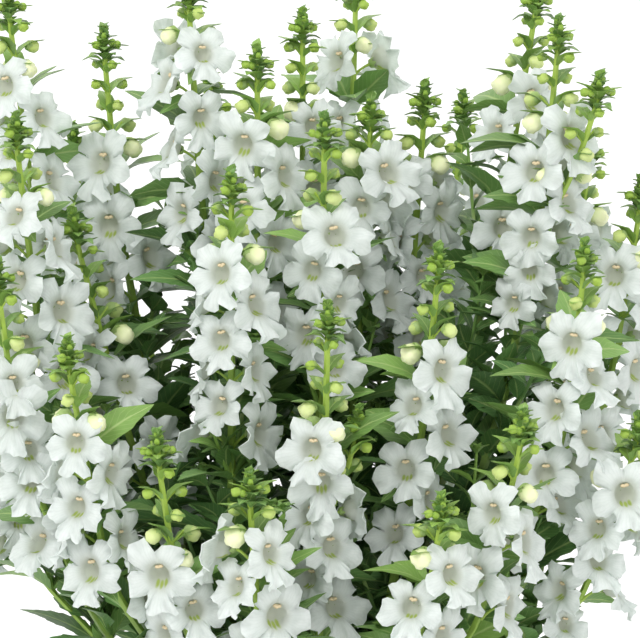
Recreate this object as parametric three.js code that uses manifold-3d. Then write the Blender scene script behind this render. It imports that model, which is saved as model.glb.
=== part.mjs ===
// A white-flowered angelonia in its pot. Millimetres, +Z up, the origin at the middle of the pot's underside.
// The side that is seen most faces -Y, so the stems at the front have a negative y.
import * as THREE from "three";
import { mergeVertices } from "three/addons/utils/BufferGeometryUtils.js";
import Module from "manifold-3d";

const wasm = await Module();
wasm.setup();

// The pot: a thin round tapering plastic pot with a deeper band round its rim, and holes in its floor.
const POT_HEIGHT = 125;
const RIM_RADIUS = 70;
const BASE_RADIUS = 49;
const POT_WALL = 2;
const RIM_BAND = 14;
const RIM_STEP = 2.2;
const RIM_DRAFT = 1;
const FLOOR_THICK = 3;
const POT_SIDES = 26;
const DRAIN_HOLES = 5;
const DRAIN_RADIUS = 4.5;
const DRAIN_CIRCLE = 38;
const DRAIN_SIDES = 8;

// The soil fills the pot to a little below its rim, and each stem stands in a plain hole in it.
const SOIL_TOP = 112;
const SOIL_GAP = 0.35;
const STEM_IN_SOIL = 14;
const STEM_GAP = 0.45;

// Stems: square in section, each rises from near the middle of the pot and flares outwards to its tip.
const STEM_SIDES = 4;
const STEM_LEVEL = 72;
const FOOT_SPREAD = 0.28;
const STEM_TOP_RADIUS = 0.85;
const STEM_SWELL = 1.35;
const STEM_SWELL_OVER = 260;
const SIDE_SHOOT_FLARE = 1.6;
const HEAD_LENGTH = 9;
const HEAD_BELLY = 0.55;
const HEAD_RADIUS = 2.7;

// Organs stand in pairs at the stem's nodes, each pair a quarter turn from the next, with some play.
// The flowers turn a little towards the light, which comes from the side that is seen most.
// Each shoot has its own seed.
const FIRST_SEED = 101;
const SEED_STEP = 17;
const BUD_STEP = 7.5;
const BLOOM_STEP = 11.5;
const LEAF_STEP = 21;
const TURN_PLAY = 34;
const LIGHT_FROM = -90;
const TURN_TO_LIGHT = 24;
const LOWEST_ON_STEM = 15;
const LOWEST_ON_SIDE_SHOOT = 12;
const ORGAN_GAP = 0.35;
const SIBLING_GAP = 0.05;
const ROOT_CLEARANCE = 0.6;

// The flowers and leaves in the shade, which face into the plant or away from the light, have mostly dropped.
const FULL_LEAN = 90;
const SHADE_OF_PLANT = 0.6;
const SHADE_OF_SIDE = 0.45;
const SHADE_LIMIT = { bloom: 0.02, leaf: 0.27 };
const SHADE_LUCK = 0.55;

// One corolla seen from in front, five lobes round a cup: across, up and forwards, at full size.
const BLOOM_OUTLINE = [
  [6.6, 3.3, -0.3],
  [8.0, 9.5, -1.4],
  [0.0, 8.0, -0.5],
  [-8.0, 9.5, -1.4],
  [-6.6, 3.3, -0.3],
  [-12.4, -3.0, 0.4],
  [-6.0, -5.6, 0.5],
  [-5.4, -12.0, 2.4],
  [5.4, -12.0, 2.4],
  [6.0, -5.6, 0.5],
  [12.4, -3.0, 0.4],
];
const CUP_FLOOR = [0, 0.4, -3.6];
const CUP_BACK = [0, 0.4, -4.8];
const CUP_RADIUS = 1.7;
const CUP_CORNERS = 3;
const CUP_TURN = 90;
const STALK_SUNK = 0.7;
const BLOOM_REACH = 12.5;
const BLOOM_CLIMB = 28;
const BLOOM_TILT = [-4, 18];
const BLOOM_ROLL = [-9, 9];
const BLOOM_SIZE = [0.8, 0.99];

// A leaf's half outline, as shares of its length and of its half width, with one tooth.
const LEAF_OUTLINE = [
  [0.42, 1.0],
  [0.5, 0.74],
];
const LEAF_LENGTH = 42;
const LEAF_WIDTH = 13.5;
const LEAF_THICK = 1.0;
const LEAF_FOLD = 0.22;
const LEAF_SUNK = 0.5;
const RIB_TOP = 0.4;
const RIB_KEEL = 0.25;
const KEEL_DEPTH = 0.8;
const LEAF_RISE = [8, 42];
const LEAF_ROLL = [-40, 40];
const LEAF_DROOP = [0.16, 0.36];
const LEAF_SIZE = [0.8, 1.1];

// A bract is a small leaf beside the buds. It and its bud grow from the tip of the shoot down.
const BRACT_LENGTH = 13;
const BRACT_WIDTH = 5;
const BRACT_WIDEST = 0.5;
const BRACT_KEEL = 0.9;
const BRACT_CUPPED = 0.8;
const BRACT_RISE = [22, 48];
const BRACT_SIZE = [0.85, 1.15];
const YOUNGEST = 0.55;
const BUD_RADIUS = 2.4;
const BUD_STALK = [4, 7.5];
const BUD_NECK = 0.75;
const BUD_CLIMB = 48;
const BUD_NOD = [15, -30];
const BUD_BELLY = 1.1;
const BUD_CORNERS = 1.15;
const BUD_SIZE = [0.9, 1.1];

// Where an organ may stand if something is in its way: degrees round the stem, and a share of its size.
const BLOOM_TRIES = [
  [0, 1], [16, 1], [-16, 1], [32, 1], [-32, 1],
  [0, 0.85], [24, 0.85], [-24, 0.85], [0, 0.72], [30, 0.72], [-30, 0.72],
];
const LEAF_TRIES = [
  [0, 1], [20, 1], [-20, 1], [40, 1], [-40, 1],
  [0, 0.78], [30, 0.78], [-30, 0.78], [0, 0.6], [35, 0.6], [-35, 0.6],
];
const BUD_TRIES = [[0, 1], [25, 1], [-25, 1]];

// The stems: the tip in mm, how much each flares low down, the turn of its first pair of organs in degrees,
// and how many pairs of buds, flowers and large leaves it bears.
// A side shoot leaves its stem so far below the tip.
const STEMS = [
  { tip: [-108, 25, 392], flare: 1.7, turn: 35, buds: 4, blooms: 6, leaves: 4 },
  { tip: [-101, -30, 349], flare: 2.1, turn: 55, buds: 4, blooms: 6, leaves: 4 },
  { tip: [-74, 35, 378], flare: 1.7, turn: 40, buds: 6, blooms: 6, leaves: 4 },
  { tip: [-42, 10, 397], flare: 1.5, turn: 35, buds: 3, blooms: 7, leaves: 4 },
  { tip: [-1, 40, 384], flare: 1.4, turn: 50, buds: 5, blooms: 5, leaves: 4 },
  { tip: [19, 76, 399], flare: 1.5, turn: 30, buds: 4, blooms: 6, leaves: 4 },
  { tip: [-17, -4, 372], foot: [-16, -3], flare: 1.3, turn: 50, buds: 4, blooms: 6, leaves: 4 },
  { tip: [7, -32, 349], flare: 1.4, turn: 40, buds: 5, blooms: 5, leaves: 4 },
  { tip: [24, 14, 353], flare: 1.3, turn: 60, buds: 3, blooms: 5, leaves: 4 },
  { tip: [44, 34, 357], flare: 1.6, turn: 40, buds: 4, blooms: 6, leaves: 4 },
  { tip: [85, 30, 394], flare: 1.25, turn: 35, buds: 5, blooms: 6, leaves: 4 },
  {
    tip: [90, -10, 382], flare: 1.8, turn: 55, buds: 5, blooms: 6, leaves: 4,
    side: { tip: [104, -24, 363], leave: 78, turn: 30, buds: 5, blooms: 1, leaves: 0 },
  },
  { tip: [121, 2, 325], flare: 2.0, turn: 30, buds: 4, blooms: 6, leaves: 4 },
  { tip: [106, 45, 337], flare: 1.7, turn: 55, buds: 4, blooms: 6, leaves: 4 },
  { tip: [-25, -56, 331], foot: [-26, -31], flare: 1.15, turn: 60, buds: 4, blooms: 6, leaves: 4 },
  { tip: [-83, -12, 314], flare: 1.2, turn: 45, buds: 6, blooms: 6, leaves: 4 },
  { tip: [-106, -52, 300], flare: 2.3, turn: 30, buds: 5, blooms: 6, leaves: 3 },
  { tip: [-80, -80, 276], flare: 2.3, turn: 60, buds: 4, blooms: 6, leaves: 3 },
  {
    tip: [8, -84, 288], flare: 1.8, turn: 35, buds: 6, blooms: 6, leaves: 3,
    side: { tip: [19, -70, 251], leave: 78, turn: 70, buds: 4, blooms: 1, leaves: 0 },
  },
  { tip: [46, -62, 305], flare: 1.7, turn: 50, buds: 5, blooms: 6, leaves: 4 },
  { tip: [97, -48, 306], flare: 2.3, turn: 60, buds: 4, blooms: 7, leaves: 3 },
  { tip: [-49, -95, 246], flare: 2.3, turn: 30, buds: 6, blooms: 4, leaves: 3 },
  { tip: [46, -102, 226], flare: 2.2, turn: 50, buds: 3, blooms: 4, leaves: 3 },
  { tip: [74, -84, 252], flare: 2.2, turn: 60, buds: 4, blooms: 4, leaves: 3 },
  { tip: [-18, -106, 234], flare: 2.2, turn: 45, buds: 3, blooms: 4, leaves: 3 },
  { tip: [-88, 74, 340], flare: 1.8, turn: 35, buds: 5, blooms: 6, leaves: 4 },
  { tip: [-36, 88, 360], flare: 1.6, turn: 75, buds: 5, blooms: 6, leaves: 4 },
  { tip: [-8, 116, 300], flare: 2.0, turn: 15, buds: 4, blooms: 5, leaves: 4 },
  { tip: [60, 86, 352], flare: 1.7, turn: 65, buds: 5, blooms: 6, leaves: 4 },
  { tip: [-66, 108, 262], flare: 2.1, turn: 40, buds: 4, blooms: 5, leaves: 3 },
  { tip: [58, 112, 268], flare: 2.1, turn: 80, buds: 4, blooms: 5, leaves: 3 },
  { tip: [116, -52, 246], flare: 2.2, turn: 25, buds: 3, blooms: 5, leaves: 3 },
  { tip: [-124, 20, 262], flare: 2.2, turn: 55, buds: 3, blooms: 5, leaves: 3 },
];

const UP = new THREE.Vector3(0, 0, 1);
const radians = THREE.MathUtils.degToRad;
const between = ([low, high], share) => low + (high - low) * share;

// A seeded run of even draws from 0 to 1.
function drawsFrom(seed) {
  let state = seed;
  return () => {
    state = (state * 16807) % 2147483647;
    return state / 2147483647;
  };
}

// A closed three.js geometry from its corners and the triangles between them.
function geometryFrom(points, triangles) {
  const geometry = new THREE.BufferGeometry().setFromPoints(points);
  geometry.setIndex(triangles.flat());
  return geometry;
}

// A closed three.js geometry as a solid that can be joined and cut.
function solidFrom(geometry) {
  const bare = geometry.clone();
  bare.deleteAttribute("normal");
  bare.deleteAttribute("uv");
  const merged = mergeVertices(bare, 1e-4);
  const corners = Array.from(merged.index.array);
  const kept = [];
  for (let i = 0; i < corners.length; i += 3) {
    const [a, b, c] = corners.slice(i, i + 3);
    if (a !== b && b !== c && c !== a) {
      kept.push(a, b, c);
    }
  }
  const shape = new wasm.Mesh({
    numProp: 3,
    vertProperties: new Float32Array(merged.attributes.position.array),
    triVerts: new Uint32Array(kept),
  });
  return new wasm.Manifold(shape);
}

// A solid as a three.js geometry.
function geometryOf(solid) {
  const shape = solid.getMesh();
  const geometry = new THREE.BufferGeometry();
  geometry.setAttribute("position", new THREE.BufferAttribute(shape.vertProperties, shape.numProp));
  geometry.setIndex(new THREE.BufferAttribute(shape.triVerts, 1));
  geometry.computeVertexNormals();
  return geometry;
}

// The bends of a stem from its foot to the start of its head and its tip. flare above 1 spreads it low down.
function bendsBetween(foot, tip, flare) {
  const length = tip.z - foot.z;
  const steps = Math.max(2, Math.round(length / STEM_LEVEL));
  const headStart = 1 - HEAD_LENGTH / length;
  const climbs = Array.from({ length: steps + 1 }, (_, i) => (i / steps) * headStart);
  return [...climbs, 1].map((climb) => {
    const out = 1 - Math.pow(1 - climb, flare);
    const bend = foot.clone().lerp(tip, out);
    return bend.setZ(foot.z + length * climb);
  });
}

// The point of a bent line that lies so far below its top.
function pointBelow(bends, below) {
  const height = bends[bends.length - 1].z - below;
  const i = Math.max(1, bends.findIndex((bend) => bend.z >= height));
  const share = (height - bends[i - 1].z) / (bends[i].z - bends[i - 1].z);
  return bends[i - 1].clone().lerp(bends[i], share);
}

// The stem's radius at a distance below its tip.
function stemRadius(below) {
  return STEM_TOP_RADIUS + STEM_SWELL * Math.min(1, below / STEM_SWELL_OVER);
}

// A stem along its bends, with its flats towards its organs. The swollen head of young leaves closes it.
function stemSolid({ bends, length, plan, buried }) {
  const rings = bends.slice(0, -1).map((bend) => [bend, stemRadius(bends[bends.length - 1].z - bend.z)]);
  if (buried > 0) {
    rings.unshift([bends[0].clone().setZ(bends[0].z - buried), stemRadius(length)]);
  }
  rings.push([pointBelow(bends, HEAD_LENGTH * HEAD_BELLY), HEAD_RADIUS]);
  const points = [];
  rings.forEach(([middle, radius]) => {
    for (let k = 0; k < STEM_SIDES; k += 1) {
      const angle = radians(plan.turn + 45) + (k / STEM_SIDES) * 2 * Math.PI;
      const corner = new THREE.Vector3(Math.cos(angle), Math.sin(angle), 0);
      points.push(corner.multiplyScalar(radius).add(middle));
    }
  });
  const triangles = [];
  for (let j = 0; j < rings.length - 1; j += 1) {
    for (let k = 0; k < STEM_SIDES; k += 1) {
      const a = j * STEM_SIDES + k;
      const b = j * STEM_SIDES + ((k + 1) % STEM_SIDES);
      triangles.push([a, b, b + STEM_SIDES], [a, b + STEM_SIDES, a + STEM_SIDES]);
    }
  }
  const last = (rings.length - 1) * STEM_SIDES;
  const top = points.push(bends[bends.length - 1]) - 1;
  for (let k = 0; k < STEM_SIDES; k += 1) {
    triangles.push([last + k, last + ((k + 1) % STEM_SIDES), top]);
  }
  for (let k = 1; k < STEM_SIDES - 1; k += 1) {
    triangles.push([0, k + 1, k]);
  }
  return solidFrom(geometryFrom(points, triangles));
}

// The organs of a shoot from the tip down: what each is, where on the stem it is rooted, and its draws.
function organsOf({ bends, length, plan, buried, seed }) {
  const draw = drawsFrom(seed);
  const lowest = buried > 0 ? LOWEST_ON_STEM : LOWEST_ON_SIDE_SHOOT;
  const organs = [];
  let below = HEAD_LENGTH;
  for (let node = 0; node < plan.buds + plan.blooms + plan.leaves && below <= length - lowest; node += 1) {
    const isBud = node < plan.buds;
    const isBloom = !isBud && node < plan.buds + plan.blooms;
    const root = pointBelow(bends, below);
    for (let face = 0; face < 2; face += 1) {
      const turn = plan.turn + 90 * node + 180 * face + TURN_PLAY * (draw() - 0.5);
      organs.push({
        kind: isBud ? "bud" : isBloom ? "bloom" : "leaf",
        node: node,
        face: face,
        root: root,
        below: below,
        age: isBud ? (node + 1) / plan.buds : 1,
        turn: isBloom ? turn - TURN_TO_LIGHT * Math.sin(radians(turn - LIGHT_FROM)) : turn,
        size: draw(),
        tilt: draw(),
        roll: draw(),
      });
    }
    below += isBud ? BUD_STEP : isBloom ? BLOOM_STEP : LEAF_STEP;
  }
  return organs;
}

// The directions of an organ that points along turn, tilted up and rolled about the way that it faces.
function facing(turn, tilt, roll) {
  const out = new THREE.Vector3(Math.cos(turn), Math.sin(turn), 0);
  const face = out.clone().multiplyScalar(Math.cos(tilt)).addScaledVector(UP, Math.sin(tilt));
  const right = new THREE.Vector3(-Math.sin(turn), Math.cos(turn), 0);
  const up = face.clone().cross(right);
  return {
    out: out,
    face: face,
    right: right.clone().multiplyScalar(Math.cos(roll)).addScaledVector(up, Math.sin(roll)),
    up: up.clone().multiplyScalar(Math.cos(roll)).addScaledVector(right, -Math.sin(roll)),
  };
}

// In each organ below, grow widens it on all sides and start, where above 0, leaves off its root in the stem.

// A corolla on its stalk: the lobed front sinks to the cup, and the back narrows to a stalk into the stem.
function bloomSolid(organ, turn, size, grow, start) {
  const climb = radians(BLOOM_CLIMB);
  const tilt = radians(between(BLOOM_TILT, organ.tilt));
  const way = facing(turn, tilt, radians(between(BLOOM_ROLL, organ.roll)));
  const middle = organ.root.clone();
  middle.addScaledVector(way.out, size * BLOOM_REACH * Math.cos(climb) + stemRadius(organ.below));
  middle.addScaledVector(UP, size * BLOOM_REACH * Math.sin(climb));
  const at = (x, y, z) =>
    middle.clone().addScaledVector(way.right, x).addScaledVector(way.up, y).addScaledVector(way.face, z);
  const points = BLOOM_OUTLINE.map(([x, y, z]) => {
    const wider = size + grow / Math.hypot(x, y);
    return at(x * wider, y * wider, z * size);
  });
  const lobes = points.length;
  points.push(at(CUP_FLOOR[0], CUP_FLOOR[1] * size, (CUP_FLOOR[2] + 2 * grow) * size));
  for (let k = 0; k < CUP_CORNERS; k += 1) {
    const angle = radians(CUP_TURN + (360 / CUP_CORNERS) * k);
    const r = (CUP_RADIUS + grow) * size;
    points.push(at(r * Math.cos(angle), CUP_BACK[1] + r * Math.sin(angle), (CUP_BACK[2] - grow) * size));
  }
  const heel = points.push(organ.root.clone().addScaledVector(way.out, start > 0 ? start : -STALK_SUNK)) - 1;
  const behind = (i) => lobes + 1 + Math.floor(((i % lobes) * CUP_CORNERS) / lobes);
  const triangles = [];
  for (let i = 0; i < lobes; i += 1) {
    const next = (i + 1) % lobes;
    triangles.push([i, next, lobes], [next, i, behind(i)]);
    if (behind(i) !== behind(next)) {
      triangles.push([next, behind(i), behind(next)]);
    }
  }
  for (let k = 0; k < CUP_CORNERS; k += 1) {
    triangles.push([lobes + 1 + ((k + 1) % CUP_CORNERS), lobes + 1 + k, heel]);
  }
  return solidFrom(geometryFrom(points, triangles));
}

// A toothed lance-shaped blade, folded a little along its rib and arching over, that narrows to its foot.
function leafSolid(organ, turn, size, grow, start) {
  const length = LEAF_LENGTH * size;
  const half = (LEAF_WIDTH / 2) * size;
  const way = facing(turn, radians(between(LEAF_RISE, organ.tilt)), radians(between(LEAF_ROLL, organ.size)));
  const droop = between(LEAF_DROOP, organ.roll);
  const at = (x, y, z) =>
    organ.root.clone()
      .addScaledVector(way.face, start > 0 ? Math.max(x, start) : x)
      .addScaledVector(way.right, y)
      .addScaledVector(way.up, z - droop * length * (x / length) ** 2);
  const edge = (side) =>
    LEAF_OUTLINE.map(([x, y]) => at(x * length, side * (y * half + grow), LEAF_FOLD * y * half));
  const points = [...edge(1), at(length + grow, 0, 0), ...edge(-1).reverse()];
  const last = points.length - 1;
  const over = points.push(at(RIB_TOP * length, 0, LEAF_THICK / 2 + grow)) - 1;
  const under = points.push(at(RIB_KEEL * length, 0, -KEEL_DEPTH - grow)) - 1;
  const heel = points.push(at(-LEAF_SUNK, 0, 0)) - 1;
  const triangles = [
    [0, heel, over],
    [heel, last, over],
    [heel, 0, under],
    [last, heel, under],
  ];
  for (let i = 0; i < last; i += 1) {
    triangles.push([i + 1, i, over], [i, i + 1, under]);
  }
  return solidFrom(geometryFrom(points, triangles));
}

// A bract: a small boat-shaped leaf.
function bractSolid(organ, turn, size, grow, start) {
  const grown = between([YOUNGEST, 1], organ.age) * size;
  const length = BRACT_LENGTH * grown;
  const half = (BRACT_WIDTH / 2) * grown;
  const way = facing(turn, radians(between(BRACT_RISE, organ.tilt)), 0);
  const at = (x, y, z) =>
    organ.root.clone()
      .addScaledVector(way.face, start > 0 ? Math.max(x, start) : x)
      .addScaledVector(way.right, y)
      .addScaledVector(way.up, z);
  const points = [
    at(-LEAF_SUNK, 0, 0),
    at(BRACT_WIDEST * length, half + grow, BRACT_CUPPED),
    at(BRACT_WIDEST * length, -half - grow, BRACT_CUPPED),
    at(length + grow, 0, 0),
    at(BRACT_WIDEST * length, 0, -BRACT_KEEL - grow),
  ];
  const triangles = [[0, 2, 1], [1, 2, 3], [0, 1, 4], [1, 3, 4], [3, 2, 4], [2, 0, 4]];
  return solidFrom(geometryFrom(points, triangles));
}

// A three-cornered ring about middle, across the direction along.
function ringOf(middle, along, radius, first) {
  const u = along.clone().cross(UP).normalize();
  const v = along.clone().cross(u).normalize();
  return [0, 1, 2].map((k) => {
    const angle = first + (k * 2 * Math.PI) / 3;
    const point = middle.clone().addScaledVector(u, radius * Math.cos(angle));
    return point.addScaledVector(v, radius * Math.sin(angle));
  });
}

// A round bud that nods on its stalk, more so as it ages.
function budSolid(organ, turn, size, grow, start) {
  const radius = BUD_RADIUS * between([YOUNGEST, 1], organ.age) * size + grow;
  const climb = radians(BUD_CLIMB);
  const out = new THREE.Vector3(Math.cos(turn), Math.sin(turn), 0);
  const along = out.clone().multiplyScalar(Math.cos(climb)).addScaledVector(UP, Math.sin(climb));
  const nodding = radians(between(BUD_NOD, organ.age));
  const nod = out.clone().multiplyScalar(Math.cos(nodding)).addScaledVector(UP, Math.sin(nodding));
  const neck = organ.root.clone().addScaledVector(along, between(BUD_STALK, organ.age));
  const belly = neck.clone().addScaledVector(nod, radius * BUD_BELLY);
  const points = [
    ...ringOf(neck, along, BUD_NECK + grow, 0),
    ...ringOf(belly, nod, radius * BUD_CORNERS, Math.PI / 3),
    belly.clone().addScaledVector(nod, radius * BUD_BELLY),
    organ.root.clone().addScaledVector(along, start > 0 ? start : -STALK_SUNK),
  ];
  const triangles = [];
  for (let k = 0; k < 3; k += 1) {
    const next = (k + 1) % 3;
    triangles.push([7, next, k], [k, next, 3 + k], [next, 3 + next, 3 + k], [3 + k, 3 + next, 6]);
  }
  return solidFrom(geometryFrom(points, triangles));
}

const ORGANS = {
  bloom: { solid: bloomSolid, tries: BLOOM_TRIES, sizes: BLOOM_SIZE },
  leaf: { solid: leafSolid, tries: LEAF_TRIES, sizes: LEAF_SIZE },
  bract: { solid: bractSolid, tries: BUD_TRIES, sizes: BRACT_SIZE },
  bud: { solid: budSolid, tries: BUD_TRIES, sizes: BUD_SIZE },
};

// Every solid placed so far. outer is the organ without its root, to keep it off the others of its stem.
const standing = [];
const HOLDER = -1;

function keep(owner, solid, outer) {
  standing.push({
    owner: owner,
    solid: solid,
    box: solid.boundingBox(),
    outer: outer,
    outerBox: outer ? outer.boundingBox() : null,
  });
}

function meets(solid, others) {
  const box = solid.boundingBox();
  return others.some(
    ([other, otherBox]) =>
      box.min.every((low, i) => low < otherBox.max[i]) &&
      box.max.every((high, i) => high > otherBox.min[i]) &&
      !other.intersect(solid).isEmpty(),
  );
}

// Places an organ at the first of its tries that is clear of all that stands already, or leaves it out.
function place(kind, organ, owner) {
  const { solid, tries, sizes } = ORGANS[kind];
  const outside = stemRadius(organ.below) + ROOT_CLEARANCE;
  const neighbours = standing
    .filter((other) => other.owner !== owner)
    .map((other) => [other.solid, other.box]);
  const siblings = standing
    .filter((other) => other.owner === owner && other.outer)
    .map((other) => [other.outer, other.outerBox]);
  for (const [turned, share] of tries) {
    const turn = radians(organ.turn + turned);
    const size = between(sizes, organ.size) * share;
    const outer = solid(organ, turn, size, SIBLING_GAP, outside);
    if (!meets(solid(organ, turn, size, ORGAN_GAP, 0), neighbours) && !meets(outer, siblings)) {
      keep(owner, solid(organ, turn, size, 0, 0), outer);
      return;
    }
  }
}

// The shoots: every main stem, and the side shoots that some of them bear, which belong to their stem's node.
const shoots = [];
STEMS.forEach((stem, owner) => {
  const tip = new THREE.Vector3(...stem.tip);
  const [footX, footY] = stem.foot || [tip.x * FOOT_SPREAD, tip.y * FOOT_SPREAD];
  const bends = bendsBetween(new THREE.Vector3(footX, footY, SOIL_TOP), tip, stem.flare);
  const length = tip.z - SOIL_TOP;
  const seed = FIRST_SEED + SEED_STEP * owner;
  shoots.push({ owner: owner, plan: stem, bends: bends, length: length, buried: STEM_IN_SOIL, seed: seed });
  if (stem.side) {
    const start = pointBelow(bends, stem.side.leave);
    const sideTip = new THREE.Vector3(...stem.side.tip);
    shoots.push({
      owner: owner,
      plan: stem.side,
      bends: bendsBetween(start, sideTip, SIDE_SHOOT_FLARE),
      length: sideTip.z - start.z,
      buried: 0,
      seed: FIRST_SEED + SEED_STEP * (owner + STEMS.length),
    });
  }
});
shoots.forEach((shoot) => {
  keep(shoot.owner, stemSolid(shoot), null);
  shoot.organs = organsOf(shoot);
});

// A round solid from half of its outline, listed from the axis outwards and back to the axis.
function roundSolid(outline) {
  const profile = outline.map(([radius, height]) => new THREE.Vector2(radius, height));
  return solidFrom(new THREE.LatheGeometry(profile, POT_SIDES).rotateX(Math.PI / 2));
}

// The pot, its wall straight from the foot to the band round its rim.
const bandBottom = POT_HEIGHT - RIM_BAND;
const wallTop = RIM_RADIUS - RIM_STEP - RIM_DRAFT;
let pot = roundSolid([
  [0, 0],
  [BASE_RADIUS, 0],
  [wallTop, bandBottom],
  [RIM_RADIUS - RIM_DRAFT, bandBottom],
  [RIM_RADIUS, POT_HEIGHT],
  [RIM_RADIUS - POT_WALL, POT_HEIGHT],
  [wallTop - POT_WALL, bandBottom],
  [BASE_RADIUS - POT_WALL, FLOOR_THICK],
  [0, FLOOR_THICK],
]);
for (let i = 0; i < DRAIN_HOLES; i += 1) {
  const angle = ((i + 0.5) / DRAIN_HOLES) * 2 * Math.PI;
  const drill = new THREE.CylinderGeometry(DRAIN_RADIUS, DRAIN_RADIUS, 4 * FLOOR_THICK, DRAIN_SIDES);
  drill.rotateX(Math.PI / 2).translate(DRAIN_CIRCLE * Math.cos(angle), DRAIN_CIRCLE * Math.sin(angle), 0);
  pot = pot.subtract(solidFrom(drill));
}
keep(HOLDER, pot, null);

// The soil, which fills the pot with a little play and has a hole for each stem.
const soilBottom = FLOOR_THICK + SOIL_GAP;
const soilFoot = BASE_RADIUS - POT_WALL - SOIL_GAP;
const wallSlope = (wallTop - BASE_RADIUS) / (bandBottom - FLOOR_THICK);
const soilEdge = soilFoot + wallSlope * (SOIL_TOP - soilBottom);
let soil = roundSolid([
  [0, soilBottom],
  [soilFoot, soilBottom],
  [soilEdge, SOIL_TOP],
  [0, SOIL_TOP],
]);
shoots.filter((shoot) => shoot.buried > 0).forEach(({ bends, length, plan }) => {
  const radius = stemRadius(length) + STEM_GAP * Math.SQRT2;
  const drill = new THREE.CylinderGeometry(radius, radius, 2 * (STEM_IN_SOIL + STEM_GAP), STEM_SIDES);
  drill.rotateX(Math.PI / 2).rotateZ(radians(plan.turn + 45)).translate(bends[0].x, bends[0].y, SOIL_TOP);
  soil = soil.subtract(solidFrom(drill));
});
keep(HOLDER, soil, null);

// Whether a flower or a leaf is still there: those in the shade have mostly dropped.
function hasStayed(organ, shoot) {
  const [x, y] = shoot.plan.tip;
  const lean = Math.min(1, Math.hypot(x, y) / FULL_LEAN);
  const turn = radians(organ.turn);
  const inwards = -Math.cos(turn - Math.atan2(y, x)) * lean;
  const away = -Math.cos(turn - radians(LIGHT_FROM));
  const shade = SHADE_OF_PLANT * inwards + SHADE_OF_SIDE * away;
  return shade < SHADE_LIMIT[organ.kind] || organ.roll > shade + SHADE_LUCK;
}

// Flowers first, then the large leaves, and last some of the buds and bracts near each tip.
function placeAll(kind, wanted) {
  shoots.forEach((shoot) => {
    shoot.organs.filter((organ) => wanted(organ, shoot)).forEach((organ) => place(kind, organ, shoot.owner));
  });
}
placeAll("bloom", (organ, shoot) => organ.kind === "bloom" && hasStayed(organ, shoot));
placeAll("leaf", (organ, shoot) => organ.kind === "leaf" && hasStayed(organ, shoot));
placeAll("bud", (organ) => organ.kind === "bud" && organ.node % 3 === 1 && organ.face === 0);
placeAll("bract", (organ) => organ.kind === "bud" && organ.node % 3 === 2 && organ.face === 1);

const plant = new THREE.Group();
function addNode(name, solid, material) {
  const mesh = new THREE.Mesh(geometryOf(solid), material);
  mesh.name = name;
  plant.add(mesh);
}

addNode("pot", pot, new THREE.MeshStandardMaterial({ color: 0x3a3d3b, roughness: 0.55, metalness: 0 }));
addNode("soil", soil, new THREE.MeshStandardMaterial({ color: 0x4a3a2c, roughness: 0.95, metalness: 0 }));
STEMS.forEach((stem, owner) => {
  const whole = standing
    .filter((part) => part.owner === owner)
    .map((part) => part.solid)
    .reduce((joined, solid) => joined.add(solid));
  const paint = new THREE.MeshStandardMaterial({ color: 0xdfe6d8, roughness: 0.6, metalness: 0 });
  addNode("flowering_stem_" + String(owner + 1).padStart(2, "0"), whole, paint);
});

export default plant;
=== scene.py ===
# The looks of a white-flowered angelonia in its pot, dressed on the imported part.
# Sizes are in metres, unless a name or a comment says mm, and angles in degrees.
import bpy
import math
import numpy as np
from functools import partial
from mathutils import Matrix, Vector


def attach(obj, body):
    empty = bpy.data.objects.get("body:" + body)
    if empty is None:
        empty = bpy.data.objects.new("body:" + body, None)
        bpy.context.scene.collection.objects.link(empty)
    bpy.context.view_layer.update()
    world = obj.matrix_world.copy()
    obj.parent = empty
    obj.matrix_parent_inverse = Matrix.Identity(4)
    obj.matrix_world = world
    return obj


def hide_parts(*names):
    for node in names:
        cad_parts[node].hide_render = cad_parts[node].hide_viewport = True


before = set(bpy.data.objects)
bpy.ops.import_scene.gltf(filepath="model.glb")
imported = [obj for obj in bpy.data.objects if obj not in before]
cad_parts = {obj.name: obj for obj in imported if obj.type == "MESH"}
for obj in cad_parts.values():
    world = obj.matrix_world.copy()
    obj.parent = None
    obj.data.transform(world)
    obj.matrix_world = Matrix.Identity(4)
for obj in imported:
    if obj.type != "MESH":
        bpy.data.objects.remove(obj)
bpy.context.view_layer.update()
MM = 0.001


# The camera looks a little down at the flowering stems from the front, from 1.3 m, through a long lens.
# The photograph crops the plant on all four sides and ends above the pot.
CAMERA_TARGET = Vector((5.4, 0, 275)) * MM
CAMERA_DISTANCE = 1.3
CAMERA_ELEVATION = math.radians(6)
CAMERA_SEES_TO = 50
SENSOR_MM = 36
LENS_MM = 203

camera = bpy.data.objects.new("camera", bpy.data.cameras.new("camera"))
bpy.context.scene.collection.objects.link(camera)
camera.data.sensor_width = SENSOR_MM
camera.data.lens = LENS_MM
camera.data.clip_end = CAMERA_SEES_TO
back = Vector((0, -math.cos(CAMERA_ELEVATION), math.sin(CAMERA_ELEVATION)))
camera.location = CAMERA_TARGET + back * CAMERA_DISTANCE
camera.rotation_euler = back.to_track_quat("Z", "Y").to_euler()
bpy.context.scene.camera = camera


# The set is a round of white paper under soft light from all sides, with a softbox in front and above on the
# left, and a weaker one in front on the right.
PAPER_HEX = "F4F4F3"
PAPER_RADIUS = 0.75
PAPER_SIDES = 96
PAPER_DROP = 0.0002
SKY_STRENGTH = 1.2
# Place, what it points at, diameter, and watts.
SOFTBOXES = {
    "key_softbox": ((-0.75, -1.0, 1.35), (0, 0, 0.25), 0.4, 7.5),
    "front_softbox": ((0.4, -1.7, 0.7), (0, 0, 0.28), 0.6, 1.5),
}


def linear(hexadecimal):
    """An sRGB hex colour as linear red, green, blue and alpha."""
    shares = [int(hexadecimal[i:i + 2], 16) / 255 for i in (0, 2, 4)]
    return [s / 12.92 if s <= 0.04045 else ((s + 0.055) / 1.055) ** 2.4 for s in shares] + [1]


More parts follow.
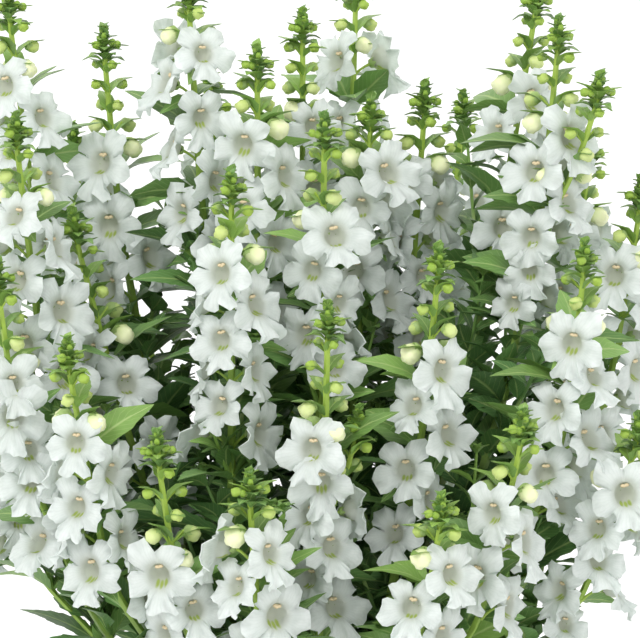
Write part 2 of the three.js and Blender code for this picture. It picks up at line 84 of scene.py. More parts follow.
def add_node(tree, kind, settings=(), links=()):
    """A shader node with its settings and the links into it. A setting is a property by name, an input by
    name or number, or the stops of a ramp. A link comes from an output, or from a node's first one in use."""
    node = tree.nodes.new("ShaderNode" + kind)
    for name, value in dict(settings).items():
        if name == "stops":
            elements = node.color_ramp.elements
            for place, colour in value:
                element = {0: elements[0], 1: elements[-1]}.get(place) or elements.new(place)
                element.color = linear(colour)
        elif isinstance(name, str) and hasattr(node, name):
            setattr(node, name, value)
        else:
            node.inputs[name].default_value = value
    for name, source in dict(links).items():
        if isinstance(source, bpy.types.Node):
            source = next(output for output in source.outputs if output.enabled)
        tree.links.new(source, node.inputs[name])
    return node


def emptied(owner):
    """A material or world without nodes, and the function that adds one to it."""
    owner.use_nodes = True
    owner.node_tree.nodes.clear()
    return owner, partial(add_node, owner.node_tree)


def select_only(*pieces):
    """Leaves nothing selected but these pieces, the first of them active."""
    bpy.ops.object.select_all(action="DESELECT")
    for piece in reversed(pieces):
        piece.select_set(True)
        bpy.context.view_layer.objects.active = piece


world, add = emptied(bpy.data.worlds.new("studio"))
bpy.context.scene.world = world
sky = add("Background", {"Color": (1, 1, 1, 1), "Strength": SKY_STRENGTH})
add("OutputWorld", links={"Surface": sky})
for name, (place, target, size, watts) in SOFTBOXES.items():
    light = bpy.data.objects.new(name, bpy.data.lights.new(name, "AREA"))
    bpy.context.scene.collection.objects.link(light)
    light.data.shape = "DISK"
    light.data.size = size
    light.data.energy = watts
    light.location = place
    light.rotation_euler = (Vector(place) - Vector(target)).to_track_quat("Z", "Y").to_euler()
bpy.context.scene.view_settings.view_transform = "Standard"

paper, add = emptied(bpy.data.materials.new("matte_white_paper"))
shader = add("BsdfPrincipled", {"Base Color": linear(PAPER_HEX), "Roughness": 0.9})
add("OutputMaterial", links={"Surface": shader})
select_only()
bpy.ops.mesh.primitive_circle_add(
    vertices=PAPER_SIDES, radius=PAPER_RADIUS, fill_type="NGON", location=(0, 0, -PAPER_DROP))
sweep = bpy.context.object
sweep.name = "sweep"
sweep.data.materials.append(paper)


# The pot is a thin round plastic pot, injection moulded in one piece, with a deeper band round its rim and
# holes in its floor. It stands on its floor and nothing is fixed to it.
# Half of its outline in mm: out from its middle, and up.
POT_PROFILE_MM = [
    (0, 0), (47.6, 0), (49.2, 0.8), (66.4, 110.2), (66.9, 111), (68.8, 111), (69.2, 111.5), (69.9, 124.3),
    (69.4, 125), (68.5, 125), (68.0, 124.4), (64.8, 110.6), (47.4, 4.0), (46.4, 3), (0, 3),
]
POT_STEPS = 96
POT_CREASE = 35
DRAIN_HOLES = 5
DRAIN_RADIUS_MM = 4.5
DRAIN_CIRCLE_MM = 38
DRILL_SIDES = 32
DRILL_LENGTH = 0.02
MERGE_GAP = 0.00001
POT_HEX = "2E3130"
MOULD_GRAIN_MM = 0.6


def piece_of(mesh):
    """An object at the origin for a mesh, selected and active."""
    piece = bpy.data.objects.new(mesh.name, mesh)
    bpy.context.scene.collection.objects.link(piece)
    select_only(piece)
    return piece


def merge_and_turn_outwards():
    """Merges the doubles of the piece in edit mode, turns its faces outwards, and leaves edit mode."""
    bpy.ops.mesh.select_all(action="SELECT")
    bpy.ops.mesh.remove_doubles(threshold=MERGE_GAP)
    bpy.ops.mesh.normals_make_consistent(inside=False)
    bpy.ops.object.mode_set(mode="OBJECT")


outline = bpy.data.meshes.new("moulded_pot")
outline.from_pydata([(out * MM, 0, up * MM) for out, up in POT_PROFILE_MM],
                    [(i, i + 1) for i in range(len(POT_PROFILE_MM) - 1)], [])
pot = piece_of(outline)
bpy.ops.object.mode_set(mode="EDIT")
bpy.ops.mesh.select_all(action="SELECT")
bpy.ops.mesh.spin(steps=POT_STEPS, angle=2 * math.pi, center=(0, 0, 0), axis=(0, 0, 1))
merge_and_turn_outwards()
for i in range(DRAIN_HOLES):
    angle = (i + 0.5) / DRAIN_HOLES * 2 * math.pi
    place = Vector((math.cos(angle), math.sin(angle), 0)) * DRAIN_CIRCLE_MM * MM
    select_only()
    bpy.ops.mesh.primitive_cylinder_add(
        vertices=DRILL_SIDES, radius=DRAIN_RADIUS_MM * MM, depth=DRILL_LENGTH, location=place)
    drill = bpy.context.object
    select_only(pot)
    cut = pot.modifiers.new("drain", "BOOLEAN")
    cut.operation = "DIFFERENCE"
    cut.object = drill
    bpy.ops.object.modifier_apply(modifier=cut.name)
    bpy.data.objects.remove(drill)
bpy.ops.object.shade_smooth_by_angle(angle=math.radians(POT_CREASE))

# Black polypropylene with the fine grain of its mould, so its highlights are broad and soft.
pot_plastic, add = emptied(bpy.data.materials.new("moulded_black_polypropylene"))
where = add("TexCoord").outputs["Object"]
grain = add("TexNoise", {"Scale": 1 / (MOULD_GRAIN_MM * MM), "Detail": 2}, {"Vector": where})
bump = add("Bump", {"Strength": 0.12, "Distance": 0.0002}, {"Height": grain})
shader = add("BsdfPrincipled", {
    "Base Color": linear(POT_HEX), "Roughness": 0.46, "IOR": 1.49}, {"Normal": bump})
add("OutputMaterial", links={"Surface": shader})
pot.data.materials.append(pot_plastic)
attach(pot, "root")
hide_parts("pot")


# The soil is moist peat compost that fills the pot to 13 mm below its rim: a crumbly top with
# a few white grains of perlite. The stems stand in it.
SOIL_TOP_MM = 112
SOIL_SETTLED_MM = 1.4
SOIL_BOTTOM_MM = 3.4
SOIL_FOOT_MM = 46.4
SOIL_EDGE_MM = 64.2
SOIL_RINGS = 26
SOIL_STEPS = 88
SOIL_CREASE = 60
# The waves of its top: height in mm, radians for each mm across and along, and start in radians.
SOIL_WAVES = [
    (0.5, 0.11, 0.13, 0.9), (0.5, 0.11, -0.13, 1.7), (0.22, 0.61, 0.37, 0), (0.1925, -0.29, 0.83, 2),
]
# How many there are, and the smallest and the largest of them in mm.
CRUMBS = (620, 0.7, 2.6)
PERLITE = (46, 0.8, 1.7)
CRUMB_KINDS = 5
CRUMB_ROUGHNESS = 0.42
CRUMB_WIDTHS = (0.75, 1.15)
CRUMB_HEIGHTS = (0.55, 0.85)
CRUMB_LIFT = 0.15
CRUMBS_OFF_WALL_MM = 3
PEAT_HEX = "33261B"
PEAT_DRY_HEX = "5E4733"
PERLITE_HEX = "D9D6CC"
soil_draws = np.random.default_rng(5)


def between(limits, share):
    return limits[0] + (limits[1] - limits[0]) * share


def soil_height(x, y):
    """The height of the soil's top in mm."""
    waves = (high * math.sin(x * across + y * along + start) for high, across, along, start in SOIL_WAVES)
    return SOIL_TOP_MM - SOIL_SETTLED_MM + sum(waves)


def tube_faces(rings, sides):
    """The faces of a closed tube whose points are its foot, its rings from the foot up, and its top."""
    steps = [(k, (k + 1) % sides) for k in range(sides)]
    last = 1 + (rings - 1) * sides
    faces = [(first + a, first + b, first + b + sides, first + a + sides)
             for first in range(1, last, sides) for a, b in steps]
    for a, b in steps:
        faces += [(0, 1 + b, 1 + a), (last + a, last + b, last + sides)]
    return faces


def piece_in_mm(name, points, faces):
    mesh = bpy.data.meshes.new(name)
    mesh.from_pydata((np.array(points) * MM).tolist(), [], faces)
    return piece_of(mesh)


rings = [(SOIL_FOOT_MM, SOIL_BOTTOM_MM)]
rings += [(SOIL_EDGE_MM * (1 - k / SOIL_RINGS), None) for k in range(SOIL_RINGS)]
points = [(0, 0, SOIL_BOTTOM_MM)]
for radius, height in rings:
    for k in range(SOIL_STEPS):
        angle = k / SOIL_STEPS * 2 * math.pi
        x, y = radius * math.cos(angle), radius * math.sin(angle)
        points.append((x, y, height or soil_height(x, y)))
points.append((0, 0, soil_height(0, 0)))
soil = piece_in_mm("peat_compost", points, tube_faces(len(rings), SOIL_STEPS))
bpy.ops.object.shade_smooth_by_angle(angle=math.radians(SOIL_CREASE))


def scattered_crumbs(name, count, smallest, largest):
    """Crumbs lying on the soil, as one piece: copies of a few balls with their corners pushed in and out."""
    models = []
    for _ in range(CRUMB_KINDS):
        select_only()
        bpy.ops.mesh.primitive_ico_sphere_add(subdivisions=2, radius=1)
        ball = bpy.context.object
        corners = np.array([vertex.co for vertex in ball.data.vertices])
        sides = np.array([tuple(polygon.vertices) for polygon in ball.data.polygons])
        corners *= (1 + CRUMB_ROUGHNESS * (soil_draws.random(len(corners)) - 0.5))[:, None]
        width, height = (between(limits, soil_draws.random()) for limits in (CRUMB_WIDTHS, CRUMB_HEIGHTS))
        corners *= [1, width, height]
        bpy.data.objects.remove(ball)
        models.append((corners, sides))
    points, faces = [], []
    for _ in range(count):
        corners, sides = models[soil_draws.integers(CRUMB_KINDS)]
        radius = (SOIL_EDGE_MM - CRUMBS_OFF_WALL_MM) * math.sqrt(soil_draws.random())
        angle = soil_draws.random() * 2 * math.pi
        x, y = radius * math.cos(angle), radius * math.sin(angle)
        size = between((smallest, largest), soil_draws.random() ** 2)
        turn = soil_draws.random() * 2 * math.pi
        c, s = math.cos(turn), math.sin(turn)
        spin = np.array([[c, s, 0], [-s, c, 0], [0, 0, 1]])
        faces += (sides + len(points)).tolist()
        points += list(corners @ spin * size + [x, y, soil_height(x, y) + CRUMB_LIFT * size])
    return piece_in_mm(name, points, faces)


crumbs = scattered_crumbs("peat_crumbs", *CRUMBS)
perlite = scattered_crumbs("perlite_grains", *PERLITE)

# Peat is a dark brown crumble with no shine, and its dry crumbs are paler.
peat, add = emptied(bpy.data.materials.new("moist_peat_compost"))
where = add("TexCoord").outputs["Object"]
clods = add("TexNoise", {"Scale": 330, "Detail": 6, "Roughness": 0.7}, {"Vector": where})
dry = add("TexNoise", {"Scale": 75, "Detail": 3}, {"Vector": where})
shade = add("Mix", {"data_type": "RGBA", 6: linear(PEAT_HEX), 7: linear(PEAT_DRY_HEX)}, {0: dry})
bump = add("Bump", {"Strength": 1.0, "Distance": 0.0016}, {"Height": clods})
shader = add("BsdfPrincipled", {"Roughness": 0.93}, {"Base Color": shade, "Normal": bump})
add("OutputMaterial", links={"Surface": shader})

# Perlite is a white volcanic glass, puffed up by heat, and quite dull.
puffed_perlite, add = emptied(bpy.data.materials.new("expanded_perlite"))
shader = add("BsdfPrincipled", {"Base Color": linear(PERLITE_HEX), "Roughness": 0.85})
add("OutputMaterial", links={"Surface": shader})
for piece, material in ((soil, peat), (crumbs, peat), (perlite, puffed_perlite)):
    piece.data.materials.append(material)
    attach(piece, "root")
    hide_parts("soil")


# The plant: 33 flowering stems that fan out from the middle of the pot. Each is a squarish green stalk, with
# its organs in crossed pairs from the young tip down: buds in their bracts, open flowers, then large leaves.
# This is the same rule that the solids follow, so each organ dresses the solid that stands in its place.
STEM_IN_SOIL_MM = 14
STEM_LEVEL_MM = 72
STEM_TOP_RADIUS_MM = 0.85
STEM_SWELL_MM = 1.35
STEM_SWELL_OVER_MM = 260
FOOT_SPREAD = 0.28
SIDE_SHOOT_FLARE = 1.6
HEAD_LENGTH_MM = 9
ORGAN_STEP_MM = {"bud": 7.5, "bloom": 11.5, "leaf": 21}
TURN_PLAY = 34
LIGHT_FROM = -90
TURN_TO_LIGHT = 24
LOWEST_ON_STEM_MM = 15
LOWEST_ON_SIDE_SHOOT_MM = 12
FIRST_SEED = 101
SEED_STEP = 17
# A pair of numbers gives the limits between which a draw or the age sets a value. The corners of a flower's
# solid are across, up and forwards, and those of a leaf's are shares of its length and of its half width.
BLOOM_SIZE = (0.8, 0.99)
BLOOM_TILT = (-4, 18)
BLOOM_ROLL = (-9, 9)
BLOOM_REACH_MM = 12.5
BLOOM_CLIMB = 28
BLOOM_CORNERS_MM = [
    (8.0, 9.5, -1.4), (-8.0, 9.5, -1.4), (12.4, -3.0, 0.4), (-12.4, -3.0, 0.4), (5.4, -12.0, 2.4),
]
LEAF_LENGTH_MM = 42
LEAF_HALF_WIDTH_MM = 6.75
LEAF_FOLD = 0.22
LEAF_SIZE = (0.8, 1.1)
LEAF_RISE = (8, 42)
LEAF_ROLL = (-40, 40)
LEAF_DROOP = (0.16, 0.36)
LEAF_CORNERS = [(1, 0), (0.42, 1), (0.42, -1), (0.5, 0.74), (0.5, -0.74)]
YOUNGEST = 0.55
BUD_RADIUS_MM = 2.4
BUD_SIZE = (0.9, 1.1)
BUD_LENGTH_IN_RADII = 2.2
BUD_STALK_MM = (4, 7.5)
BUD_CLIMB = 48
BUD_NOD = (15, -30)
BRACT_LENGTH_MM = 13
BRACT_SIZE = (0.85, 1.15)
BRACT_RISE = (22, 48)
# Tip, foot where it isn't in line with the tip, flare, turn, and pairs of buds, flowers and large leaves.
STEMS = [
    ((-108, 25, 392), None, 1.7, 35, 4, 6, 4),
    ((-101, -30, 349), None, 2.1, 55, 4, 6, 4),
    ((-74, 35, 378), None, 1.7, 40, 6, 6, 4),
    ((-42, 10, 397), None, 1.5, 35, 3, 7, 4),
    ((-1, 40, 384), None, 1.4, 50, 5, 5, 4),
    ((19, 76, 399), None, 1.5, 30, 4, 6, 4),
    ((-17, -4, 372), (-16, -3), 1.3, 50, 4, 6, 4),
    ((7, -32, 349), None, 1.4, 40, 5, 5, 4),
    ((24, 14, 353), None, 1.3, 60, 3, 5, 4),
    ((44, 34, 357), None, 1.6, 40, 4, 6, 4),
    ((85, 30, 394), None, 1.25, 35, 5, 6, 4),
    ((90, -10, 382), None, 1.8, 55, 5, 6, 4),
    ((121, 2, 325), None, 2.0, 30, 4, 6, 4),
    ((106, 45, 337), None, 1.7, 55, 4, 6, 4),
    ((-25, -56, 331), (-26, -31), 1.15, 60, 4, 6, 4),
    ((-83, -12, 314), None, 1.2, 45, 6, 6, 4),
    ((-106, -52, 300), None, 2.3, 30, 5, 6, 3),
    ((-80, -80, 276), None, 2.3, 60, 4, 6, 3),
    ((8, -84, 288), None, 1.8, 35, 6, 6, 3),
    ((46, -62, 305), None, 1.7, 50, 5, 6, 4),
    ((97, -48, 306), None, 2.3, 60, 4, 7, 3),
    ((-49, -95, 246), None, 2.3, 30, 6, 4, 3),
    ((46, -102, 226), None, 2.2, 50, 3, 4, 3),
    ((74, -84, 252), None, 2.2, 60, 4, 4, 3),
    ((-18, -106, 234), None, 2.2, 45, 3, 4, 3),
    ((-88, 74, 340), None, 1.8, 35, 5, 6, 4),
    ((-36, 88, 360), None, 1.6, 75, 5, 6, 4),
    ((-8, 116, 300), None, 2.0, 15, 4, 5, 4),
    ((60, 86, 352), None, 1.7, 65, 5, 6, 4),
    ((-66, 108, 262), None, 2.1, 40, 4, 5, 3),
    ((58, 112, 268), None, 2.1, 80, 4, 5, 3),
    ((116, -52, 246), None, 2.2, 25, 3, 5, 3),
    ((-124, 20, 262), None, 2.2, 55, 3, 5, 3),
]
# Side shoots by the number of their stem: tip, how far below the stem's tip they leave it, turn, and pairs.
SIDE_SHOOTS = {11: ((104, -24, 363), 78, 30, 5, 1, 0), 18: ((19, -70, 251), 78, 70, 4, 1, 0)}
# Where an organ may stand if something is in its way: degrees round the stem, and a share of its size.
BLOOM_TRIES = [
    (0, 1), (16, 1), (-16, 1), (32, 1), (-32, 1),
    (0, 0.85), (24, 0.85), (-24, 0.85), (0, 0.72), (30, 0.72), (-30, 0.72),
]
LEAF_TRIES = [
    (0, 1), (20, 1), (-20, 1), (40, 1), (-40, 1),
    (0, 0.78), (30, 0.78), (-30, 0.78), (0, 0.6), (35, 0.6), (-35, 0.6),
]
BUD_TRIES = [(0, 1), (25, 1), (-25, 1)]
SOLID_MATCH_MM = 0.03


def even_draws(seed):
    """Even draws from 0 to 1 that any language repeats."""
    state = seed
    while True:
        state = (state * 16807) % 2147483647
        yield state / 2147483647


def bends_between(foot, tip, flare):
    """The bends of a stem from its foot to the start of its head and its tip, in mm."""
    foot, tip = np.array(foot, float), np.array(tip, float)
    length = tip[2] - foot[2]
    steps = max(2, int(length / STEM_LEVEL_MM + 0.5))
    climbs = [i / steps * (1 - HEAD_LENGTH_MM / length) for i in range(steps + 1)] + [1]
    outs = [1 - (1 - climb) ** flare for climb in climbs]
    return [foot + (tip - foot) * [out, out, climb] for out, climb in zip(outs, climbs)]


def point_below(bends, below):
    """The point of a bent line that lies so far below its top."""
    height = bends[-1][2] - below
    i = max(1, next(k for k, bend in enumerate(bends) if bend[2] >= height - 1e-9))
    low, stretch = bends[i - 1], bends[i] - bends[i - 1]
    return low + stretch * ((height - low[2]) / stretch[2])


def stem_radius(below):
    return STEM_TOP_RADIUS_MM + STEM_SWELL_MM * min(1, below / STEM_SWELL_OVER_MM)


def way(turn, climb):
    """The direction that points along turn, seen from above, and climbs."""
    turn, climb = math.radians(turn), math.radians(climb)
    return np.array([math.cos(turn) * math.cos(climb), math.sin(turn) * math.cos(climb), math.sin(climb)])


def facing(turn, climb, roll=0):
    """Right, up and forwards, as rows, for an organ that faces that way and is rolled about it."""
    forwards, flat = way(turn, climb), way(turn + 90, 0)
    rise = np.cross(forwards, flat)
    c, s = math.cos(math.radians(roll)), math.sin(math.radians(roll))
    return np.array([flat * c + rise * s, rise * c - flat * s, forwards])


def bloom_place(organ, turned, share):
    """Where a flower's face is, its directions and its size."""
    size, turn = between(BLOOM_SIZE, organ["size"]) * share, organ["turn"] + turned
    axes = facing(turn, between(BLOOM_TILT, organ["tilt"]), between(BLOOM_ROLL, organ["roll"]))
    reach = way(turn, BLOOM_CLIMB) * size * BLOOM_REACH_MM + way(turn, 0) * stem_radius(organ["below"])
    return organ["root"] + reach, axes, size


def leaf_place(organ, turned, share):
    """A large leaf's directions, its length and half width in mm, and how far it droops."""
    size = between(LEAF_SIZE, organ["size"]) * share
    rise, roll = between(LEAF_RISE, organ["tilt"]), between(LEAF_ROLL, organ["size"])
    axes = facing(organ["turn"] + turned, rise, roll)
    return axes, LEAF_LENGTH_MM * size, LEAF_HALF_WIDTH_MM * size, between(LEAF_DROOP, organ["roll"])


def bud_place(organ, turned, share):
    """A bud's neck, the way that it nods, and its radius."""
    radius = BUD_RADIUS_MM * between((YOUNGEST, 1), organ["age"]) * between(BUD_SIZE, organ["size"]) * share
    turn = organ["turn"] + turned
    neck = organ["root"] + way(turn, BUD_CLIMB) * between(BUD_STALK_MM, organ["age"])
    return neck, way(turn, between(BUD_NOD, organ["age"])), radius


def bract_place(organ, turned, share):
    """A bract's directions, and its length in mm."""
    grown = between((YOUNGEST, 1), organ["age"]) * between(BRACT_SIZE, organ["size"]) * share
    return facing(organ["turn"] + turned, between(BRACT_RISE, organ["tilt"])), BRACT_LENGTH_MM * grown


def bloom_marks(organ, turned, share):
    middle, axes, size = bloom_place(organ, turned, share)
    return middle + size * (np.array(BLOOM_CORNERS_MM) @ axes)


def leaf_marks(organ, turned, share):
    axes, length, half, droop = leaf_place(organ, turned, share)
    along, across = np.array(LEAF_CORNERS).T
    lift = LEAF_FOLD * np.abs(across) * half - droop * length * along ** 2
    return organ["root"] + np.column_stack([across * half, lift, along * length]) @ axes


def bud_marks(organ, turned, share):
    neck, nod, radius = bud_place(organ, turned, share)
    return [neck + nod * radius * BUD_LENGTH_IN_RADII]


def bract_marks(organ, turned, share):
    axes, length = bract_place(organ, turned, share)
    return [organ["root"] + axes[2] * length]


def built_try(corners, organ, marks, tries):
    """Which of an organ's places its solid stands in, found by the organ's own corners, or None."""
    for turned, share in tries:
        wanted = np.array(marks(organ, turned, share))
        gaps = np.linalg.norm(corners[None, :, :] - wanted[:, None, :], axis=2).min(axis=1)
        if (gaps < SOLID_MATCH_MM).sum() >= max(1, len(wanted) - 1):
            return turned, share
    return None


def solid_name(stem):
    return "flowering_stem_%02d" % (stem + 1)


def shoot_of(stem, bends, turn, buds, blooms, leaves, lowest, seed, is_side=False):
    """A shoot with its organs from its tip down, each with its root on the stem's axis and its own draws.
    A bud or bract without a solid stands in the first of its places. A flower or large leaf is left out."""
    corners = np.array([vertex.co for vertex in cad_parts[solid_name(stem)].data.vertices]) / MM
    draws = even_draws(seed)
    length = bends[-1][2] - bends[0][2]
    organs, below = [], HEAD_LENGTH_MM
    for node, kind in enumerate(["bud"] * buds + ["bloom"] * blooms + ["leaf"] * leaves):
        if below > length - lowest:
            break
        for face in (0, 1):
            aim = turn + 90 * node + 180 * face + TURN_PLAY * (next(draws) - 0.5)
            if kind == "bloom":
                aim -= TURN_TO_LIGHT * math.sin(math.radians(aim - LIGHT_FROM))
            organ = {
                "kind": kind, "root": point_below(bends, below), "below": below, "turn": aim,
                "age": (node + 1) / buds if kind == "bud" else 1.0,
                "size": next(draws), "tilt": next(draws), "roll": next(draws),
            }
            if kind == "bloom":
                organ["built"] = built_try(corners, organ, bloom_marks, BLOOM_TRIES)
            elif kind == "leaf":
                organ["built"] = built_try(corners, organ, leaf_marks, LEAF_TRIES)
            else:
                organ["built"] = built_try(corners, organ, bud_marks, BUD_TRIES) or BUD_TRIES[0]
                organ["bract"] = built_try(corners, organ, bract_marks, BUD_TRIES) or BUD_TRIES[0]
            organs.append(organ)
        below += ORGAN_STEP_MM[kind]
    return {
        "stem": stem, "is_side": is_side, "bends": bends, "length": length, "turn": turn, "organs": organs,
    }


shoots = []
for stem, (tip, foot, flare, *plan) in enumerate(STEMS):
    foot = foot or (tip[0] * FOOT_SPREAD, tip[1] * FOOT_SPREAD)
    bends = bends_between((*foot, SOIL_TOP_MM), tip, flare)
    shoots.append(shoot_of(stem, bends, *plan, LOWEST_ON_STEM_MM, FIRST_SEED + SEED_STEP * stem))
    if stem in SIDE_SHOOTS:
        tip, leave, *plan = SIDE_SHOOTS[stem]
        bends = bends_between(point_below(bends, leave), tip, SIDE_SHOOT_FLARE)
        seed = FIRST_SEED + SEED_STEP * (stem + len(STEMS))
        shoots.append(shoot_of(stem, bends, *plan, LOWEST_ON_SIDE_SHOOT_MM, seed, is_side=True))


class Bundle:
    """Copies of models gathered into one mesh: points in mm, faces, the models' own UVs, and for each copy a
    tone, which is a pair, and the number of its paint."""

    def __init__(self):
        self.points, self.corners, self.sizes, self.uvs, self.tones, self.paints = [], [], [], [], [], []
        self.count = 0

    def add(self, model, points, tone=(0.5, 0.5), paint=0):
        self.points.append(points)
        self.corners.append(model["corners"] + self.count)
        self.sizes.append(model["sizes"])
        self.uvs.append(model["uvs"])
        self.tones.append(np.tile(np.array(tone, float), (len(model["corners"]), 1)))
        self.paints.append(model["paints"] + paint)
        self.count += len(points)

    def mesh(self, name):
        sizes = np.concatenate(self.sizes)
        mesh = bpy.data.meshes.new(name)
        mesh.vertices.add(self.count)
        mesh.vertices.foreach_set("co", (np.concatenate(self.points) * MM).ravel())
        mesh.loops.add(int(sizes.sum()))
        mesh.loops.foreach_set("vertex_index", np.concatenate(self.corners).astype(np.int32))
        mesh.polygons.add(len(sizes))
        mesh.polygons.foreach_set("loop_start", (np.cumsum(sizes) - sizes).astype(np.int32))
        mesh.polygons.foreach_set("material_index", np.concatenate(self.paints).astype(np.int32))
        mesh.update(calc_edges=True)
        for layer, values in (("pattern", self.uvs), ("tone", self.tones)):
            mesh.uv_layers.new(name=layer).data.foreach_set("uv", np.concatenate(values).ravel())
        return mesh


def dress_stems(kind, materials, crease, fill):
    """One piece for each stem, of all that fill adds to its bundle for the stem and for its side shoot."""
    for stem in range(len(STEMS)):
        bundle = Bundle()
        for shoot in shoots:
            if shoot["stem"] == stem:
                fill(bundle, shoot)
        piece = piece_of(bundle.mesh("%s_%02d" % (kind, stem + 1)))
        for material in materials:
            piece.data.materials.append(material)
        bpy.ops.object.shade_smooth_by_angle(angle=math.radians(crease))
        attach(piece, "root")
        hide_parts(solid_name(stem))


def model_of(piece):
    """Reads a finished model piece in mm for copying, and takes the piece itself away."""
    mesh = piece.data
    uvs = np.zeros(len(mesh.loops) * 2)
    mesh.uv_layers[0].data.foreach_get("uv", uvs)
    model = {
        "points": np.array([vertex.co for vertex in mesh.vertices]) / MM,
        "corners": np.array([loop.vertex_index for loop in mesh.loops]),
        "sizes": np.array([polygon.loop_total for polygon in mesh.polygons]),
        "paints": np.array([polygon.material_index for polygon in mesh.polygons]),
        "uvs": uvs.reshape(-1, 2),
    }
    bpy.data.objects.remove(piece)
    return model


def model_from(points, faces, uvs):
    """A model from points in mm, its faces, and a UV for each point."""
    corners = np.concatenate([np.array(face) for face in faces])
    return {
        "points": np.array(points, float), "corners": corners,
        "sizes": np.array([len(face) for face in faces]), "paints": np.zeros(len(faces), int),
        "uvs": np.array(uvs, float)[corners],
    }


def axes_along(ahead):
    """Three directions as rows, the first of them level and the last one ahead."""
    level = np.cross([0, 0, 1], ahead)
    level = level / np.linalg.norm(level)
    return np.array([level, np.cross(ahead, level), ahead])


# Stalks: the green stem of each shoot, square with rounded corners, and the thin stalks of its flowers and
# buds. They are half woody below and juicy near the tip, and each stem stands 14 mm deep in the soil.
STALK_SIDES = 8
STALK_SQUARENESS = 0.09
STALK_CREASE = 60
STALK_END_MM = 2.5
STALK_OFF_HOLE_MM = 0.2
# A bend takes up so much of the line on both sides, but no more than this share of a stretch.
BEND_ROUNDING_MM = 14
BEND_SHARE = 1 / 2.2
BEND_POINTS = (0, 0.33, 0.67, 1)
# The thin stalks: their radius, how they swell from their root to their end, and how far they bow up.
FLOWER_STALK_MM = 0.5
FLOWER_STALK_BOW = 0.06
FLOWER_BACK_MM = 5.0
BUD_STALK_RADIUS_MM = 0.42
YOUNGEST_BUD_STALK = 0.7
BUD_STALK_BOW = 0.05
THIN_STALK_SWELLS = np.array([1.5, 1, 1, 1.35])
THIN_STALK_SIDES = 5
# Thin stalks are as green as a stem that is half as far below its tip.
THIN_STALK_YOUTH = 0.5
# The stem's colours by how far below the tip they lie, in metres.
STEM_COLOURS = [(0.0, "A3BE4F"), (0.075, "8FAE4B"), (0.17, "6F8A44"), (0.27, "7A7047")]


def rounded_line(bends):
    """The stem's line with its bends rounded, as points from the foot to the tip."""
    points = [bends[0]]
    for before, here, after in zip(bends, bends[1:], bends[2:]):
        start, end = (here + (other - here) * min(BEND_ROUNDING_MM / np.linalg.norm(other - here), BEND_SHARE)
                      for other in (before, after))
        for share in BEND_POINTS:
            points.append((1 - share) ** 2 * start + 2 * share * (1 - share) * here + share ** 2 * end)
    return points + [bends[-1]]


def stem_tube(shoot):
    """A stem's tube, its corners set towards the four sides between its organs. Its UV runs round it in u,
    and from the tip down in v, in metres."""
    top = shoot["bends"][-1][2]
    line = rounded_line(shoot["bends"])
    tip = line.pop() - [0, 0, STALK_END_MM]
    if not shoot["is_side"]:
        line.insert(0, line[0] - [0, 0, STEM_IN_SOIL_MM - STALK_OFF_HOLE_MM])
    points, uvs = [line[0]], [(0.5, (top - line[0][2]) * MM)]
    for middle in line:
        below = top - middle[2]
        for k in range(STALK_SIDES):
            angle = 360 * k / STALK_SIDES
            wide = stem_radius(max(0, below)) * (1 + STALK_SQUARENESS * math.cos(math.radians(4 * angle)))
            points.append(middle + wide * way(shoot["turn"] + 45 + angle, 0))
            uvs.append((k / STALK_SIDES, below * MM))
    return model_from(points + [tip], tube_faces(len(line), STALK_SIDES), uvs + [(0.5, 0)])


def thin_stalk_model():
    """The faces of a thin stalk, with a UV that runs round it in u and along it in v, and no points yet."""
    rings = len(THIN_STALK_SWELLS)
    uvs = [(k / THIN_STALK_SIDES, j / (rings - 1)) for j in range(rings) for k in range(THIN_STALK_SIDES)]
    return model_from([], tube_faces(rings, THIN_STALK_SIDES), [(0.5, 0)] + uvs + [(0.5, 1)])


def thin_stalk_points(start, end, radii, bow):
    """The points of a thin stalk that bows up between its ends."""
    length = np.linalg.norm(end - start)
    level, side, ahead = axes_along((end - start) / length)
    points = [start]
    for share, radius in zip(np.linspace(0, 1, len(radii)), radii):
        middle = start + (end - start) * share + [0, 0, bow * length * 4 * share * (1 - share)]
        for k in range(THIN_STALK_SIDES):
            angle = 2 * math.pi * k / THIN_STALK_SIDES
            points.append(middle - radius * (level * math.cos(angle) + side * math.sin(angle)))
    return np.array(points + [end])


thin_stalk = thin_stalk_model()


def fill_stalks(bundle, shoot):
    tube = stem_tube(shoot)
    bundle.add(tube, tube["points"])
    for organ in shoot["organs"]:
        if organ["kind"] == "bloom" and organ["built"]:
            middle, axes, size = bloom_place(organ, *organ["built"])
            end = middle - axes[2] * FLOWER_BACK_MM * size
            radius, bow = FLOWER_STALK_MM, FLOWER_STALK_BOW
        elif organ["kind"] == "bud":
            end = bud_place(organ, *organ["built"])[0]
            radius, bow = BUD_STALK_RADIUS_MM * between((YOUNGEST_BUD_STALK, 1), organ["age"]), BUD_STALK_BOW
        else:
            continue
        model = dict(thin_stalk, uvs=thin_stalk["uvs"] * [1, 0] + [0, organ["below"] * THIN_STALK_YOUTH * MM])
        bundle.add(model, thin_stalk_points(organ["root"], end, radius * THIN_STALK_SWELLS, bow))


